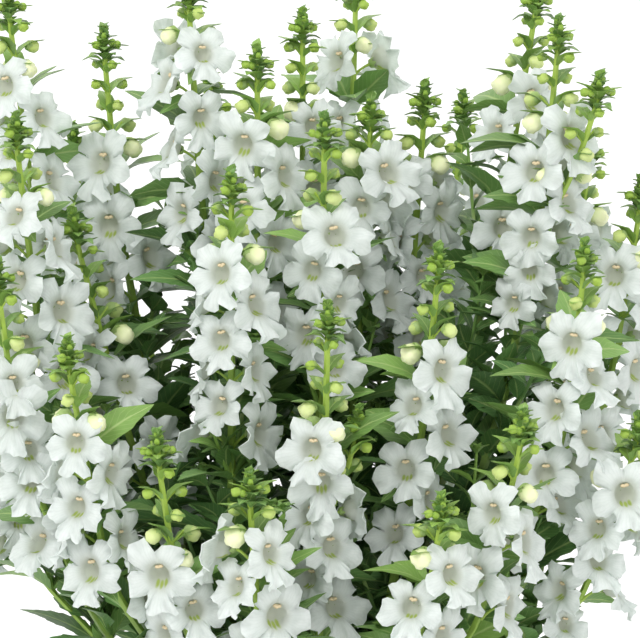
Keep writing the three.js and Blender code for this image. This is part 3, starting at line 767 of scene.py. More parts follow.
# Soft green stem: its fibres run along it, and it goes from yellow-green at the tip to dull olive below.
# The mottle is about 4 mm long, and the fibres about 0.4 mm apart and ten times as long.
stem_skin, add = emptied(bpy.data.materials.new("green_stem_skin"))
pattern = add("SeparateXYZ", links={0: add("UVMap", {"uv_map": "pattern"})})
where = add("TexCoord").outputs["Object"]
longest = STEM_COLOURS[-1][0]
below = add("Math", {"operation": "MULTIPLY", 1: 1 / longest}, {0: pattern.outputs["Y"]})
age = add("ValToRGB", {"stops": [(place / longest, colour) for place, colour in STEM_COLOURS]}, {0: below})
mottle = add("TexNoise", {"Scale": 260, "Detail": 3}, {"Vector": where})
value = add("MapRange", {"To Min": 0.78, "To Max": 1.2}, {0: mottle})
shade = add("HueSaturation", links={"Color": age, "Value": value})
drawn_out = add("Mapping", {"Scale": (2600, 2600, 260)}, {"Vector": where})
fibres = add("TexNoise", {"Scale": 1.0, "Detail": 2}, {"Vector": drawn_out})
bump = add("Bump", {"Strength": 0.25, "Distance": 0.0002}, {"Height": fibres})
shader = add("BsdfPrincipled", {"Roughness": 0.5, "IOR": 1.42}, {"Base Color": shade, "Normal": bump})
add("OutputMaterial", links={"Surface": shader})
dress_stems("stalks", [stem_skin], STALK_CREASE, fill_stalks)


# Flowers: a thin white corolla in one piece, an oval cup with two rounded upper lobes, two side lobes and a
# lower lobe that widens to a notched edge. The lobes are softly ruffled, and anthers sit at the cup's top.
FLOWER_KINDS = 12
FLOWER_PLAY = 28
FLOWER_AROUND = 60
FLOWER_CREASE = 70
# Right half of the corolla's edge from the notch at the top to the middle of the lower lobe: across, up and
# forwards in mm, the angle at which its ray leaves the cup, and how far the lobe swells forwards there.
FLOWER_EDGE = [
    (0.0, 8.3, -0.6, 90, 0.1), (1.2, 10.6, -1.2, 83, 0.5), (3.8, 12.0, -1.8, 71, 1.1),
    (7.0, 11.8, -2.0, 58, 1.4), (9.6, 9.9, -1.7, 46, 1.4), (10.3, 7.0, -1.2, 34, 1.1),
    (9.3, 4.6, -0.8, 22, 0.6), (7.1, 2.9, -0.3, 12, 0.1), (9.4, 3.2, 0.6, 4, 0.6),
    (11.8, 1.4, 0.6, -7, 1.1), (12.9, -1.9, 0.3, -18, 1.3), (12.2, -5.6, 0.2, -29, 1.2),
    (9.9, -8.0, 0.3, -38, 0.9), (7.3, -8.1, 0.6, -46, 0.6), (5.3, -6.6, 0.7, -54, 0.1),
    (4.9, -8.5, 2.0, -62, 0.6), (5.6, -10.4, 2.9, -68, 1.1), (6.6, -12.2, 2.6, -74, 1.2),
    (5.3, -13.6, 1.9, -80, 1.1), (2.5, -13.3, 2.1, -86, 1.2), (0.0, -12.4, 2.4, -90, 1.2),
]
# How many of the whole edge's knots each lobe has, clockwise from the upper right one.
LOBE_KNOTS = (7, 7, 13, 7, 6)
CUP_HALF_WIDTH_MM = 3.9
CUP_HALF_HEIGHT_MM = 4.6
CUP_MIDDLE_MM = 0.2
# The cup's rings from its bottom up: share of its opening, and depth in mm.
CUP_RINGS = [(0.0, -3.8), (0.58, -3.4), (0.9, -1.9), (1.0, 0.0)]
LOBE_RINGS = (0.36, 0.72, 1.0)
# The white hump on the cup's lower lip: height, half width, half length, and its place below the middle.
HUMP_MM = (1.5, 1.7, 1.2, 3.6)
PETAL_THICK_MM = 0.3
SWELL = 1.5
# What makes each kind of flower its own: the lobes' length and lift, the edge's knots, its frill and its
# waves. Each wave has its share of the ruffle and its radians from knot to knot.
LOBE_STRETCH = 0.16
LOBE_SWAY_MM = 3.2
EDGE_PLAY_MM = 0.7
FRILL = 0.1
RUFFLE_MM = 1.5
RUFFLE_WAVES = [(1, 1.7), (0.7, 3.1)]
WIDTH_WAVE = (0.02, 3.3)
# Across and up of each anther in mm and its share of the full size, then their half sizes in mm, how deep in
# the cup they sit, and the play of their places.
ANTHERS = [(-0.75, 3.35, 1.0), (0.75, 3.35, 1.0), (0, 3.0, 0.75)]
ANTHER_HALF_MM = (1.05, 0.75, 0.7)
ANTHER_DEPTH_MM = 0.9
ANTHER_PLAY_MM = 0.3
ANTHER_GRID = (6, 4)
UV_SPAN_MM = 60
PETAL_HEX = "F6FAF8"
PETAL_SHADE_HEX = "DDE4E0"
VEIN_HEX = "BCC6BD"
# Painted shade: a faint grey on the lobes round the cup, and a deeper grey inside the cup.
PAINTED_LOBE_SHADE_HEX = "DCE3DD"
PAINTED_THROAT_SHADE_HEX = "D6DACC"
SPOT_HEX = "BDCF70"
SPOTS_MM = [(-1.5, -2.9), (0.0, -3.3), (1.5, -2.9)]
SPOT_HALF_MM = (0.62, 1.0)
VEINS_AROUND = 46
ANTHER_HEX = "D6C5A0"
flower_draws = np.random.default_rng(21)


def smooth_loop(knots, count):
    """Even points along a closed smooth curve through the knots."""
    total = len(knots)
    made = []
    for k in range(count):
        place = k / count * total
        i, t = int(place), place - int(place)
        a, b, c, d = (knots[(i + step) % total] for step in (-1, 0, 1, 2))
        made.append(0.5 * (2 * b + (c - a) * t + (2 * a - 5 * b + 4 * c - d) * t ** 2
                           + (3 * b - 3 * c + d - a) * t ** 3))
    return np.array(made)


def flower_model():
    """One corolla, rolled from a flat grid whose columns run round the flower and whose rows run outwards."""
    left = [(-x, y, z, -180 - angle, swell) for x, y, z, angle, swell in FLOWER_EDGE[-2:0:-1]]
    knots = np.array(FLOWER_EDGE + left)
    lobe = np.repeat(range(len(LOBE_KNOTS)), LOBE_KNOTS)
    stretch = 1 + LOBE_STRETCH * (flower_draws.random(len(LOBE_KNOTS)) - 0.5)
    sway = LOBE_SWAY_MM * (flower_draws.random(len(LOBE_KNOTS)) - 0.5)
    knots[:, :2] *= stretch[lobe][:, None]
    knots[:, :2] += EDGE_PLAY_MM * (flower_draws.random((len(knots), 2)) - 0.5)
    # The notches between the lobes, where nothing swells, stay where they are.
    knots[:, 2] += np.where(knots[:, 4] > 0.3, sway[lobe], 0)
    # The rays' angles fall steadily all the way round, so they aren't smoothed with the rest.
    edge = smooth_loop(knots[:, [0, 1, 2, 4]], FLOWER_AROUND)
    places = np.arange(FLOWER_AROUND) / FLOWER_AROUND * len(knots)
    angles = np.radians(np.interp(places, np.arange(len(knots) + 1), [*knots[:, 3], -270]))
    phases = flower_draws.random(3) * 2 * math.pi
    edge[:, :2] *= 1 + FRILL * (flower_draws.random(FLOWER_AROUND) - 0.5)[:, None]
    wave = sum(share * np.sin(places * pace + phase) for (share, pace), phase in zip(RUFFLE_WAVES, phases))
    width_wave = WIDTH_WAVE[0] * np.sin(places * WIDTH_WAVE[1] + phases[2])[:, None]
    middle = np.array([0, CUP_MIDDLE_MM])
    rim = middle + np.column_stack([CUP_HALF_WIDTH_MM * np.cos(angles), CUP_HALF_HEIGHT_MM * np.sin(angles)])
    rows = [np.column_stack([middle + (rim - middle) * share, np.full(FLOWER_AROUND, depth)])
            for share, depth in CUP_RINGS]
    for share in LOBE_RINGS:
        flat = (rim + (edge[:, :2] - rim) * share) * (1 + width_wave * share ** 2)
        arch = SWELL * edge[:, 3] * math.sin(math.pi * share * 0.85)
        rows.append(np.column_stack([flat, edge[:, 2] * share ** 1.3 + arch + RUFFLE_MM * wave * share ** 3]))
    points = np.array([np.vstack([row, row[:1]]) for row in rows]).reshape(-1, 3)
    high, half, long, below = HUMP_MM
    points[:, 2] += high * np.exp(-((points[:, 0] / half) ** 2 + ((points[:, 1] + below) / long) ** 2))
    select_only()
    bpy.ops.mesh.primitive_grid_add(x_subdivisions=FLOWER_AROUND, y_subdivisions=len(rows) - 1, size=1)
    corolla = bpy.context.object
    corolla.data.vertices.foreach_set("co", (points * MM).ravel())
    bpy.ops.object.mode_set(mode="EDIT")
    merge_and_turn_outwards()
    if sum(polygon.normal.z * polygon.area for polygon in corolla.data.polygons) < 0:
        corolla.data.flip_normals()
    for loop in corolla.data.loops:
        x, y, z = corolla.data.vertices[loop.vertex_index].co / MM
        corolla.data.uv_layers[0].data[loop.index].uv = (x / UV_SPAN_MM + 0.5, y / UV_SPAN_MM + 0.5)
    wall = corolla.modifiers.new("wall", "SOLIDIFY")
    wall.thickness = PETAL_THICK_MM * MM
    wall.offset = -1
    bpy.ops.object.modifier_apply(modifier=wall.name)
    anthers = []
    for x, y, share in ANTHERS:
        select_only()
        x, y = x + ANTHER_PLAY_MM * flower_draws.random(), y + ANTHER_PLAY_MM * flower_draws.random()
        bpy.ops.mesh.primitive_uv_sphere_add(
            segments=ANTHER_GRID[0], ring_count=ANTHER_GRID[1], radius=MM,
            location=Vector((x, y, -ANTHER_DEPTH_MM)) * MM)
        anthers.append(bpy.context.object)
        wide, high, deep = ANTHER_HALF_MM
        bpy.context.object.scale = (wide * share, high * share, deep)
        bpy.ops.object.transform_apply(location=True, rotation=True, scale=True)
    petal_faces = len(corolla.data.polygons)
    select_only(corolla, *anthers)
    bpy.ops.object.join()
    model = model_of(corolla)
    model["paints"][petal_faces:] = 1
    return model


flower_models = [flower_model() for _ in range(FLOWER_KINDS)]
flower_spots = []


def fill_flowers(bundle, shoot):
    for organ in shoot["organs"]:
        if organ["kind"] == "bloom" and organ["built"]:
            middle, (right, up, forwards), size = bloom_place(organ, *organ["built"])
            flower_spots.append((middle, forwards))
            yaw, pitch = np.radians(FLOWER_PLAY * (flower_draws.random(2) - 0.5))
            aside = forwards * math.cos(yaw) + right * math.sin(yaw)
            axes = np.array([right * math.cos(yaw) - forwards * math.sin(yaw),
                             up * math.cos(pitch) - aside * math.sin(pitch),
                             aside * math.cos(pitch) + up * math.sin(pitch)])
            model = flower_models[flower_draws.integers(FLOWER_KINDS)]
            bundle.add(model, middle + size * (model["points"] @ axes), (flower_draws.random(), 0.5))


# Petal: thin, matt and a little translucent, cool white. The grey of its cup and the fainter grey of the
# lobes round it are painted shade. It has yellow-green spots on the lip and faint veins that fan out from the
# cup.
# The pattern is drawn in mm from the middle of the flower.
petal, add = emptied(bpy.data.materials.new("thin_white_petal"))
from_middle = add("Mapping", {
    "Location": (-0.5 * UV_SPAN_MM, -0.5 * UV_SPAN_MM, 0), "Scale": (UV_SPAN_MM, UV_SPAN_MM, 1),
}, {"Vector": add("UVMap", {"uv_map": "pattern"})})


def oval(middle, half, soft):
    """A soft oval on the petal: 1 inside it, 0 outside."""
    moved = add("Mapping", {"vector_type": "TEXTURE", "Location": (*middle, 0), "Scale": (*half, 1)},
                {"Vector": from_middle})
    length = add("VectorMath", {"operation": "LENGTH"}, {0: moved})
    return add("MapRange", {
        "interpolation_type": "SMOOTHSTEP", "From Min": 1 - soft, "From Max": 1 + soft,
        "To Min": 1, "To Max": 0}, {0: length})


spots, *more_spots = [oval(place, SPOT_HALF_MM, 0.45) for place in SPOTS_MM]
for spot in more_spots:
    spots = add("Math", {"operation": "MAXIMUM"}, {0: spots, 1: spot})
turned = add("TexGradient", {"gradient_type": "RADIAL"}, {"Vector": from_middle}).outputs["Fac"]
veins_round = add("Math", {"operation": "MULTIPLY", 1: 2 * math.pi * VEINS_AROUND}, {0: turned})
bent = add("TexNoise", {"Scale": 0.35, "Detail": 1}, {"Vector": from_middle})
vein_bend = add("Math", {"operation": "MULTIPLY_ADD", 1: 9.0}, {0: bent, 2: veins_round})
vein_wave = add("Math", {"operation": "SINE"}, {0: vein_bend})
veins = add("MapRange", {"From Min": 0.2, "From Max": 1, "To Min": 0, "To Max": 0.09}, {0: vein_wave})
cloudy = add("TexNoise", {"Scale": 0.22, "Detail": 2}, {"Vector": from_middle})
clouds = add("MapRange", {"From Min": 0.4, "From Max": 0.8, "To Min": 0, "To Max": 0.7}, {0: cloudy})
# Painted shade: a faint grey on the lobes round the cup, and a deeper grey over the cup's inside.
painted_shade_near_cup = add("Math", {"operation": "MULTIPLY", 1: 0.5}, {0: oval((0, -0.4), (7.0, 7.4), 0.6)})
painted_throat_shade = oval((0, 0.4), (3.9, 4.7), 0.6)
colour = add("Mix", {"data_type": "RGBA", 6: linear(PETAL_HEX), 7: linear(PETAL_SHADE_HEX)}, {0: clouds})
for mask, its_hex in ((veins, VEIN_HEX), (painted_shade_near_cup, PAINTED_LOBE_SHADE_HEX), (painted_throat_shade, PAINTED_THROAT_SHADE_HEX), (spots, SPOT_HEX)):
    colour = add("Mix", {"data_type": "RGBA", 7: linear(its_hex)}, {0: mask, 6: colour})
crinkle = add("Bump", {"Strength": 0.15, "Distance": 0.0002}, {"Height": vein_wave})
front = add("BsdfPrincipled", {"Roughness": 0.62, "IOR": 1.38}, {"Base Color": colour, "Normal": crinkle})
through = add("BsdfTranslucent", links={"Color": colour})
mixed = add("MixShader", {0: 0.44}, {1: front, 2: through})
add("OutputMaterial", links={"Surface": mixed})

# Anther: a dry sac of pale buff pollen.
pollen, add = emptied(bpy.data.materials.new("dusty_pollen_sac"))
shader = add("BsdfPrincipled", {"Base Color": linear(ANTHER_HEX), "Roughness": 0.8})
add("OutputMaterial", links={"Surface": shader})
dress_stems("flowers", [petal, pollen], FLOWER_CREASE, fill_flowers)


# Leaves: lance-shaped blades with a toothed edge, folded a little along a pale rib and arching over. The
# large ones stand where their solids do. Small ones follow: a bract under each flower and bud, leafy shoots
# and tufts in the axils of the large leaves, pairs low on the stem, and a crown of tiny leaves at each tip.
LEAF_CREASE = 50
# A blade's half width along it, both as shares, its teeth, and where they start.
LEAF_WIDTHS = [
    (0, 0.05), (0.04, 0.09), (0.1, 0.3), (0.2, 0.68), (0.31, 0.92), (0.42, 1.0),
    (0.55, 0.95), (0.7, 0.73), (0.84, 0.42), (0.94, 0.17), (1, 0),
]
LARGE_TEETH = 8
SMALL_TEETH = 3
TEETH_FROM = 0.1
TOOTH_DEPTH = 0.13
TOOTH_TIP = 0.72
LANE_INSET = 0.93
LEAF_THICK_MM = 0.5
# The ripple of a blade's edge as a share of its half width, its radians along it, and how far a blade sways.
LEAF_RIPPLE = 0.05
RIPPLE_PACE = 19
LEAF_SWAY = 0.12
# Room kept clear: before and behind a flower's face, round its middle, and round the rim of the pot.
CLEAR_OF_FACE_MM = (-2.5, 7)
CLEAR_OF_MIDDLE_MM = 11
CLEAR_OF_RIM_MM = (58, 76)
CLEAR_ABOVE_RIM_MM = 131
CLEAR_ABOVE_SOIL_MM = 114
# Small leaves by where they grow: what each tries, as degrees aside and share of size, its half width as a
# share of its length, and the limits of its droop, length in mm and rise.
SMALL_LEAF_TRIES = [(0, 1), (24, 1), (-24, 1), (0, 0.7)]
FLOWER_BRACT_TRIES = [(0, 1), (20, 1), (-20, 1), (35, 0.9), (-35, 0.9), (0, 0.7)]
SMALL_LEAF_DROOP = (0.05, 0.27)
SMALL_LEAF_ROLL = (-50, 50)
SMALL_LEAF_CUPPED = 0.25
FLOWER_BRACT_MM = (13, 18)
FLOWER_BRACT_RISE = (-14, 2)
FLOWER_BRACT_HALF = 0.23
DROPPED_FLOWER_TURNS = (-30, 30)
DROPPED_FLOWER_LEAF_MM = (19, 32)
DROPPED_FLOWER_LEAF_RISE = (5, 50)
TUFT_LEAVES = 5
TUFT_LEAVES_BY_SHOOT = 2
TUFT_TURN = 38
TUFT_STEP_MM = 1.5
TUFT_MM = (12, 26)
TUFT_RISE = (18, 76)
TUFT_HALF = 0.25
LOW_PAIR_MM = (19, 34)
LOW_PAIR_RISE = (20, 65)
LOW_PAIR_HALF = 0.24
LOW_PAIR_FIRST_MM = 14
LOW_PAIR_STEP_MM = 13
LOW_PAIR_OFF_SOIL_MM = 4
BUD_BRACT_STRETCH = 1.22
BUD_BRACT_HALF = 0.25
BUD_BRACT_DROOP = 0.1
BUD_BRACT_CUPPED = 0.5
# Leafy shoots in the axils of the large leaves.
SHARE_OF_LEAFY_SHOOTS = 0.7
LEAFY_SHOOT_MM = (26, 76)
SHORTEST_SHOOT_MM = 14
SHOOT_CUT_MM = 6
SHOOT_BARE_END_MM = 3
SHOOT_CLIMB = (56, 78)
SHOOT_RADII_MM = (0.9, 0.8, 0.7, 0.5)
SHOOT_BOW = -0.03
SHOOT_FIRST_PAIR_MM = 5.0
SHOOT_PAIR_STEP_MM = 7.5
SHOOT_LEAF_MM = (21, 11)
SHOOT_LEAF_SIZE = (0.85, 1.15)
SHOOT_LEAF_RISE = (22, 56)
# Crowns: each leaf stands a golden turn on from the last. In a leafy shoot's crown, the first leaf has a rise
# and a length in mm, and each next one adds to them.
GOLDEN_TURN = 137.5
SHOOT_CROWN_LEAVES = 7
SHOOT_CROWN_RISE = (25, 7)
SHOOT_CROWN_LEAF_MM = (6.5, -0.5)
SHOOT_CROWN_HALF = 0.3
SHOOT_CROWN_CUPPED = 0.45
CROWN_LEAVES = 22
CROWN_LENGTH_MM = 12.5
CROWN_LEAF_MM = (7.4, 3.8)
CROWN_RISE = (6, 62)
CROWN_HALF = 0.4
CROWN_DROOP = 0.05
CROWN_CUPPED = 0.5
# A leaf's age from the tip down to the oldest, and the colours from young to old, and of the rib and veins.
LEAF_AGE = (0.12, 0.87)
OLDEST_LEAF_BELOW_MM = 190
LEAF_COLOURS = [(0, "8DAF4E"), (0.25, "769A4E"), (0.5, "63894B"), (0.75, "557C47"), (1, "4C7242")]
RIB_HEX = "A9C07A"
SIDE_VEINS = 9
foliage_draws = np.random.default_rng(34)


def blade_model(teeth, across):
    """A closed thin blade as shares: along its length, across its half width, and its face, 1 above and -1
    below. The upper and the lower face share the toothed edge. The UV runs along in u and across in v."""
    rows = {(0.0, 1.0), (0.05, 1.0)}
    for tooth in range(teeth):
        low, high = (between((TEETH_FROM, 1), (tooth + part) / teeth) for part in (0, TOOTH_TIP))
        rows |= {(low, 1 - TOOTH_DEPTH if tooth else 1.0), (high, 1.0)}
    rows = sorted(rows)
    lanes = np.linspace(-1, 1, 2 * across + 1)
    points, uvs, index = [], [], {}
    for layer in (1, -1):
        for j, (along, edge) in enumerate(rows):
            width = np.interp(along, *zip(*LEAF_WIDTHS))
            for k, lane in enumerate(lanes):
                if abs(lane) == 1 and layer == -1:
                    index[layer, j, k] = index[1, j, k]
                    continue
                index[layer, j, k] = len(points)
                reach = width * lane * (edge if abs(lane) == 1 else LANE_INSET)
                points.append((along, reach, layer * (1 - abs(lane))))
                uvs.append((along, 0.5 + 0.5 * lane))
    tip, last = len(points), len(rows) - 1
    points.append((1, 0, 0))
    uvs.append((1, 0.5))
    faces = []
    for layer in (1, -1):
        for k in range(2 * across):
            near, far = ([index[layer, j, lane] for j in range(last + 1)] for lane in (k, k + 1))
            lane_faces = [[near[j], near[j + 1], far[j + 1], far[j]] for j in range(last)]
            faces += [face[::layer] for face in lane_faces + [[near[last], tip, far[last]]]]
    # The foot is closed between the two faces.
    above, below = ([index[layer, 0, k] for k in range(2 * across + 1)] for layer in (1, -1))
    return model_from(points, faces + [above + below[-2:0:-1]], uvs)


large_blade = blade_model(LARGE_TEETH, 2)
small_blade = blade_model(SMALL_TEETH, 1)
flower_middles, flower_faces = (np.array(spots) for spots in zip(*flower_spots))


def drawn(limits):
    """A value between two limits, by the next draw."""
    return between(limits, foliage_draws.random())


def stepped(series, k):
    """The value of number k in a series: what the first one has, and what each next one adds."""
    return series[0] + series[1] * k


def add_blade(bundle, blade, root, axes, length, half, droop, tone, cupped=0.0, sway=0.0):
    """A blade in its place: folded along its rib, arching over by droop, and swayed a little to one side."""
    along, across, layer = blade["points"].T
    fold = LEAF_FOLD * np.abs(across) + cupped * np.sin(math.pi * along)
    ripple = LEAF_RIPPLE * np.sin(along * RIPPLE_PACE + 3 * sway) * across ** 2
    lift = half * (fold + ripple) - droop * length * along ** 2 + 0.5 * LEAF_THICK_MM * layer
    side = across * half + sway * length * along ** 2 * LEAF_SWAY
    bundle.add(blade, root + np.column_stack([side, lift, along * length]) @ axes, tone)


def hits_flower(points):
    """Whether any of some points lies in or just in front of a flower's face."""
    gaps = points[:, None] - flower_middles
    before = (gaps * flower_faces).sum(axis=2)
    aside = np.linalg.norm(gaps - before[..., None] * flower_faces, axis=2)
    near = (before > CLEAR_OF_FACE_MM[0]) & (before < CLEAR_OF_FACE_MM[1]) & (aside < CLEAR_OF_MIDDLE_MM)
    return near.any()


def hits_pot(points):
    out, up = np.hypot(points[:, 0], points[:, 1]), points[:, 2]
    over_rim = (out > CLEAR_OF_RIM_MM[0]) & (out < CLEAR_OF_RIM_MM[1]) & (up < CLEAR_ABOVE_RIM_MM)
    return (over_rim | (up < CLEAR_ABOVE_SOIL_MM)).any()


def add_small_leaf(bundle, root, turn, rise, length, half, tone, tries=SMALL_LEAF_TRIES):
    """A small leaf at the first of its tries that is clear of the flowers and the pot, or none."""
    sway, droop, roll = drawn((-1, 1)), drawn(SMALL_LEAF_DROOP), drawn(SMALL_LEAF_ROLL)
    for turned, share in tries:
        axes, size = facing(turn + turned, rise, roll), np.array([length, half]) * share
        reach = np.array([root + (axes[2] * part - axes[1] * droop * part ** 2) * size[0]
                          for part in (0.4, 0.7, 1.0)])
        if not hits_flower(reach) and not hits_pot(reach):
            add_blade(bundle, small_blade, root, axes, *size, droop, tone, SMALL_LEAF_CUPPED, sway)
            return


def add_leafy_shoot(bundle, root, turn, length, tone):
    """A short shoot without flowers in the axil of a large leaf: a thin stalk, crossed pairs and a crown."""
    up = way(turn, drawn(SHOOT_CLIMB))
    while length > SHORTEST_SHOOT_MM and hits_flower(root + np.outer([0.4, 0.6, 0.8, 1.0], up) * length):
        length -= SHOOT_CUT_MM
    if length <= SHORTEST_SHOOT_MM:
        return
    tip = root + up * length
    bundle.add(thin_stalk, thin_stalk_points(root, tip, SHOOT_RADII_MM, SHOOT_BOW), (max(0, tone - 0.3), 0.6))
    reach, pair = SHOOT_FIRST_PAIR_MM, 0
    while reach < length - SHOOT_BARE_END_MM:
        share = reach / length
        for face in (0, 1):
            aim = turn + 45 + 90 * pair + 180 * face + drawn((-20, 20))
            size = between(SHOOT_LEAF_MM, share) * drawn(SHOOT_LEAF_SIZE)
            shade = (max(0, tone - 0.35 * share + drawn((0, 0.15))), drawn((0, 1)))
            rise = drawn(SHOOT_LEAF_RISE)
            add_small_leaf(bundle, root + up * reach, aim, rise, size, size * TUFT_HALF, shade)
        reach += SHOOT_PAIR_STEP_MM
        pair += 1
    for k in range(SHOOT_CROWN_LEAVES):
        axes = facing(turn + GOLDEN_TURN * k, stepped(SHOOT_CROWN_RISE, k))
        size = stepped(SHOOT_CROWN_LEAF_MM, k) + drawn((0, 1))
        tone = (drawn((0.1, 0.4)), drawn((0, 1)))
        add_blade(bundle, small_blade, tip, axes, size, size * SHOOT_CROWN_HALF, CROWN_DROOP, tone,
                  SHOOT_CROWN_CUPPED)


def axis_point(shoot, below):
    return point_below(shoot["bends"], min(below, shoot["length"] - 0.5))


def fill_foliage(bundle, shoot):
    lowest = HEAD_LENGTH_MM
    for organ in shoot["organs"]:
        root, turn, lowest = organ["root"], organ["turn"], organ["below"]
        age = between(LEAF_AGE, min(1, lowest / OLDEST_LEAF_BELOW_MM)) + drawn((-0.1, 0.1))
        tone = (min(1, age), drawn((0, 1)))
        if organ["kind"] == "bud":
            axes, length = bract_place(organ, *organ["bract"])
            length *= BUD_BRACT_STRETCH
            add_blade(bundle, small_blade, root, axes, length, length * BUD_BRACT_HALF, BUD_BRACT_DROOP,
                      (max(0, tone[0] - 0.05), tone[1]), BUD_BRACT_CUPPED, drawn((-1, 1)))
        elif organ["kind"] == "bloom" and organ["built"]:
            rise, length = drawn(FLOWER_BRACT_RISE), drawn(FLOWER_BRACT_MM)
            add_small_leaf(bundle, root, turn + organ["built"][0] + drawn((-5, 5)), rise, length,
                           length * FLOWER_BRACT_HALF, tone, FLOWER_BRACT_TRIES)
        elif organ["kind"] == "bloom":
            for turned in DROPPED_FLOWER_TURNS:
                length, rise = drawn(DROPPED_FLOWER_LEAF_MM), drawn(DROPPED_FLOWER_LEAF_RISE)
                add_small_leaf(bundle, root, turn + turned, rise, length, length * FLOWER_BRACT_HALF, tone)
        else:
            if organ["built"]:
                add_blade(bundle, large_blade, root, *leaf_place(organ, *organ["built"]), tone)
            is_shoot = drawn((0, 1)) < SHARE_OF_LEAFY_SHOOTS
            if is_shoot:
                add_leafy_shoot(bundle, root, turn + drawn((-25, 25)), drawn(LEAFY_SHOOT_MM), tone[0])
            for k in range(TUFT_LEAVES_BY_SHOOT if is_shoot else TUFT_LEAVES):
                aim = turn + (k - 2) * TUFT_TURN + drawn((-15, 15))
                length, rise = drawn(TUFT_MM), drawn(TUFT_RISE)
                paler = (max(0, tone[0] - 0.18 - drawn((0, 0.1))), drawn((0, 1)))
                above = root + [0, 0, TUFT_STEP_MM * k]
                add_small_leaf(bundle, above, aim, rise, length, length * TUFT_HALF, paler)
    # Pairs low on the stem.
    below, pair = lowest + LOW_PAIR_FIRST_MM, 0
    while below < shoot["length"] - LOW_PAIR_OFF_SOIL_MM and not shoot["is_side"]:
        root = axis_point(shoot, below)
        for face in (0, 1):
            aim = shoot["turn"] + 90 * pair + 45 + 180 * face + drawn((-25, 25))
            size = drawn(LOW_PAIR_MM)
            tone = (drawn((0.7, 1)), drawn((0, 1)))
            add_small_leaf(bundle, root, aim, drawn(LOW_PAIR_RISE), size, size * LOW_PAIR_HALF, tone)
        below += LOW_PAIR_STEP_MM
        pair += 1
    # The crown at the tip.
    for k in range(CROWN_LEAVES):
        share = k / (CROWN_LEAVES - 1)
        root = axis_point(shoot, max(0.8, CROWN_LENGTH_MM * (1 - share) ** 0.8))
        aim = shoot["turn"] + GOLDEN_TURN * k + drawn((-10, 10))
        axes = facing(aim, between(CROWN_RISE, share) + drawn((-12, 12)))
        size = between(CROWN_LEAF_MM, share) + drawn((0, 1.6))
        tone = (drawn((0.05, 0.45)), drawn((0, 1)))
        add_blade(bundle, small_blade, root, axes, size, size * CROWN_HALF, CROWN_DROOP, tone, CROWN_CUPPED)


# Leaf: a firm green blade with a waxy sheen, with a pale rib and side veins. Young ones are yellow-green and
# grow darker and bluer down the stem. The tone map gives each blade's age and its own shade.
leaf_skin, add = emptied(bpy.data.materials.new("waxy_toothed_leaf"))
pattern = add("SeparateXYZ", links={0: add("UVMap", {"uv_map": "pattern"})})
tone = add("SeparateXYZ", links={0: add("UVMap", {"uv_map": "tone"})})
where = add("TexCoord").outputs["Object"]
age = add("ValToRGB", {"stops": LEAF_COLOURS}, {0: tone.outputs["X"]})
across = add("Math", {"operation": "SUBTRACT", 1: 0.5}, {0: pattern.outputs["Y"]})
aside = add("Math", {"operation": "ABSOLUTE"}, {0: across})
rib = add("MapRange", {"From Min": 0.015, "From Max": 0.06, "To Min": 0.75, "To Max": 0}, {0: aside})
slant = add("Math", {"operation": "MULTIPLY_ADD", 1: -0.55}, {0: aside, 2: pattern.outputs["X"]})
row = add("Math", {"operation": "MULTIPLY", 1: 2 * math.pi * SIDE_VEINS}, {0: slant})
row_wave = add("Math", {"operation": "SINE"}, {0: row})
vein = add("MapRange", {"From Min": 0.86, "From Max": 1, "To Min": 0, "To Max": 0.3}, {0: row_wave})
pale = add("Math", {"operation": "MAXIMUM"}, {0: rib, 1: vein})
mottle = add("TexNoise", {"Scale": 210, "Detail": 4}, {"Vector": where})
mottled = add("MapRange", {"To Min": 0.65, "To Max": 1.0}, {0: mottle})
shade = add("Math", {"operation": "MULTIPLY_ADD", 1: 0.4}, {0: tone.outputs["Y"], 2: mottled})
green = add("HueSaturation", links={"Color": age, "Value": shade})
ribbed = add("Mix", {"data_type": "RGBA", 7: linear(RIB_HEX)}, {0: pale, 6: green})
relief = add("Math", {"operation": "MULTIPLY_ADD", 1: -0.6}, {0: pale, 2: mottle})
bump = add("Bump", {"Strength": 0.5, "Distance": 0.0004}, {"Height": relief})
shader = add("BsdfPrincipled", {"Roughness": 0.42, "IOR": 1.42, "Specular IOR Level": 0.5}, {
    "Base Color": ribbed, "Normal": bump})
add("OutputMaterial", links={"Surface": shader})
dress_stems("foliage", [leaf_skin], LEAF_CREASE, fill_foliage)


# Buds: round and closed, with the folded lobes showing as soft swellings. The oldest of each shoot are as
# big as a pea, cream and nodding, and the youngest are green beads. Each sits in a cup of five green sepals.
# A bud's faces, round it and along it: more for the buds on stalks than for the beads in the crowns.
BUD_GRID = (12, 9)
BEAD_GRID = (8, 5)
BUD_KINDS = 4
BUD_CREASE = 60
BUD_SWELL = 0.42
# Sepals: the outwards and up of their tips and of the notches between them, on a bud of unit radius.
SEPALS = 5
SEPAL_TIP = (0.98, 1.05)
SEPAL_NOTCH = (0.86, 0.38)
SEPAL_FOOT = (0.72, 0.12)
FLOWER_CALYX_MM = 2.3
FLOWER_CALYX_BACK_MM = 5.7
# Beads in the crown, from the lowest up: how many, and what the first has and each next one adds.
BEADS = 7
BEAD_BELOW_MM = (9, -1.1)
BEAD_RISE = (25, 7)
BEAD_STALK_MM = (2.6, -0.2)
BEAD_RADIUS_MM = (1.55, -0.1)
BUD_COLOURS = [(0, "86A840"), (0.5, "9FBB50"), (0.75, "C3D382"), (1, "E8ECC0")]
BUD_FOOT_HEX = "A8C25C"
bud_draws = np.random.default_rng(55)


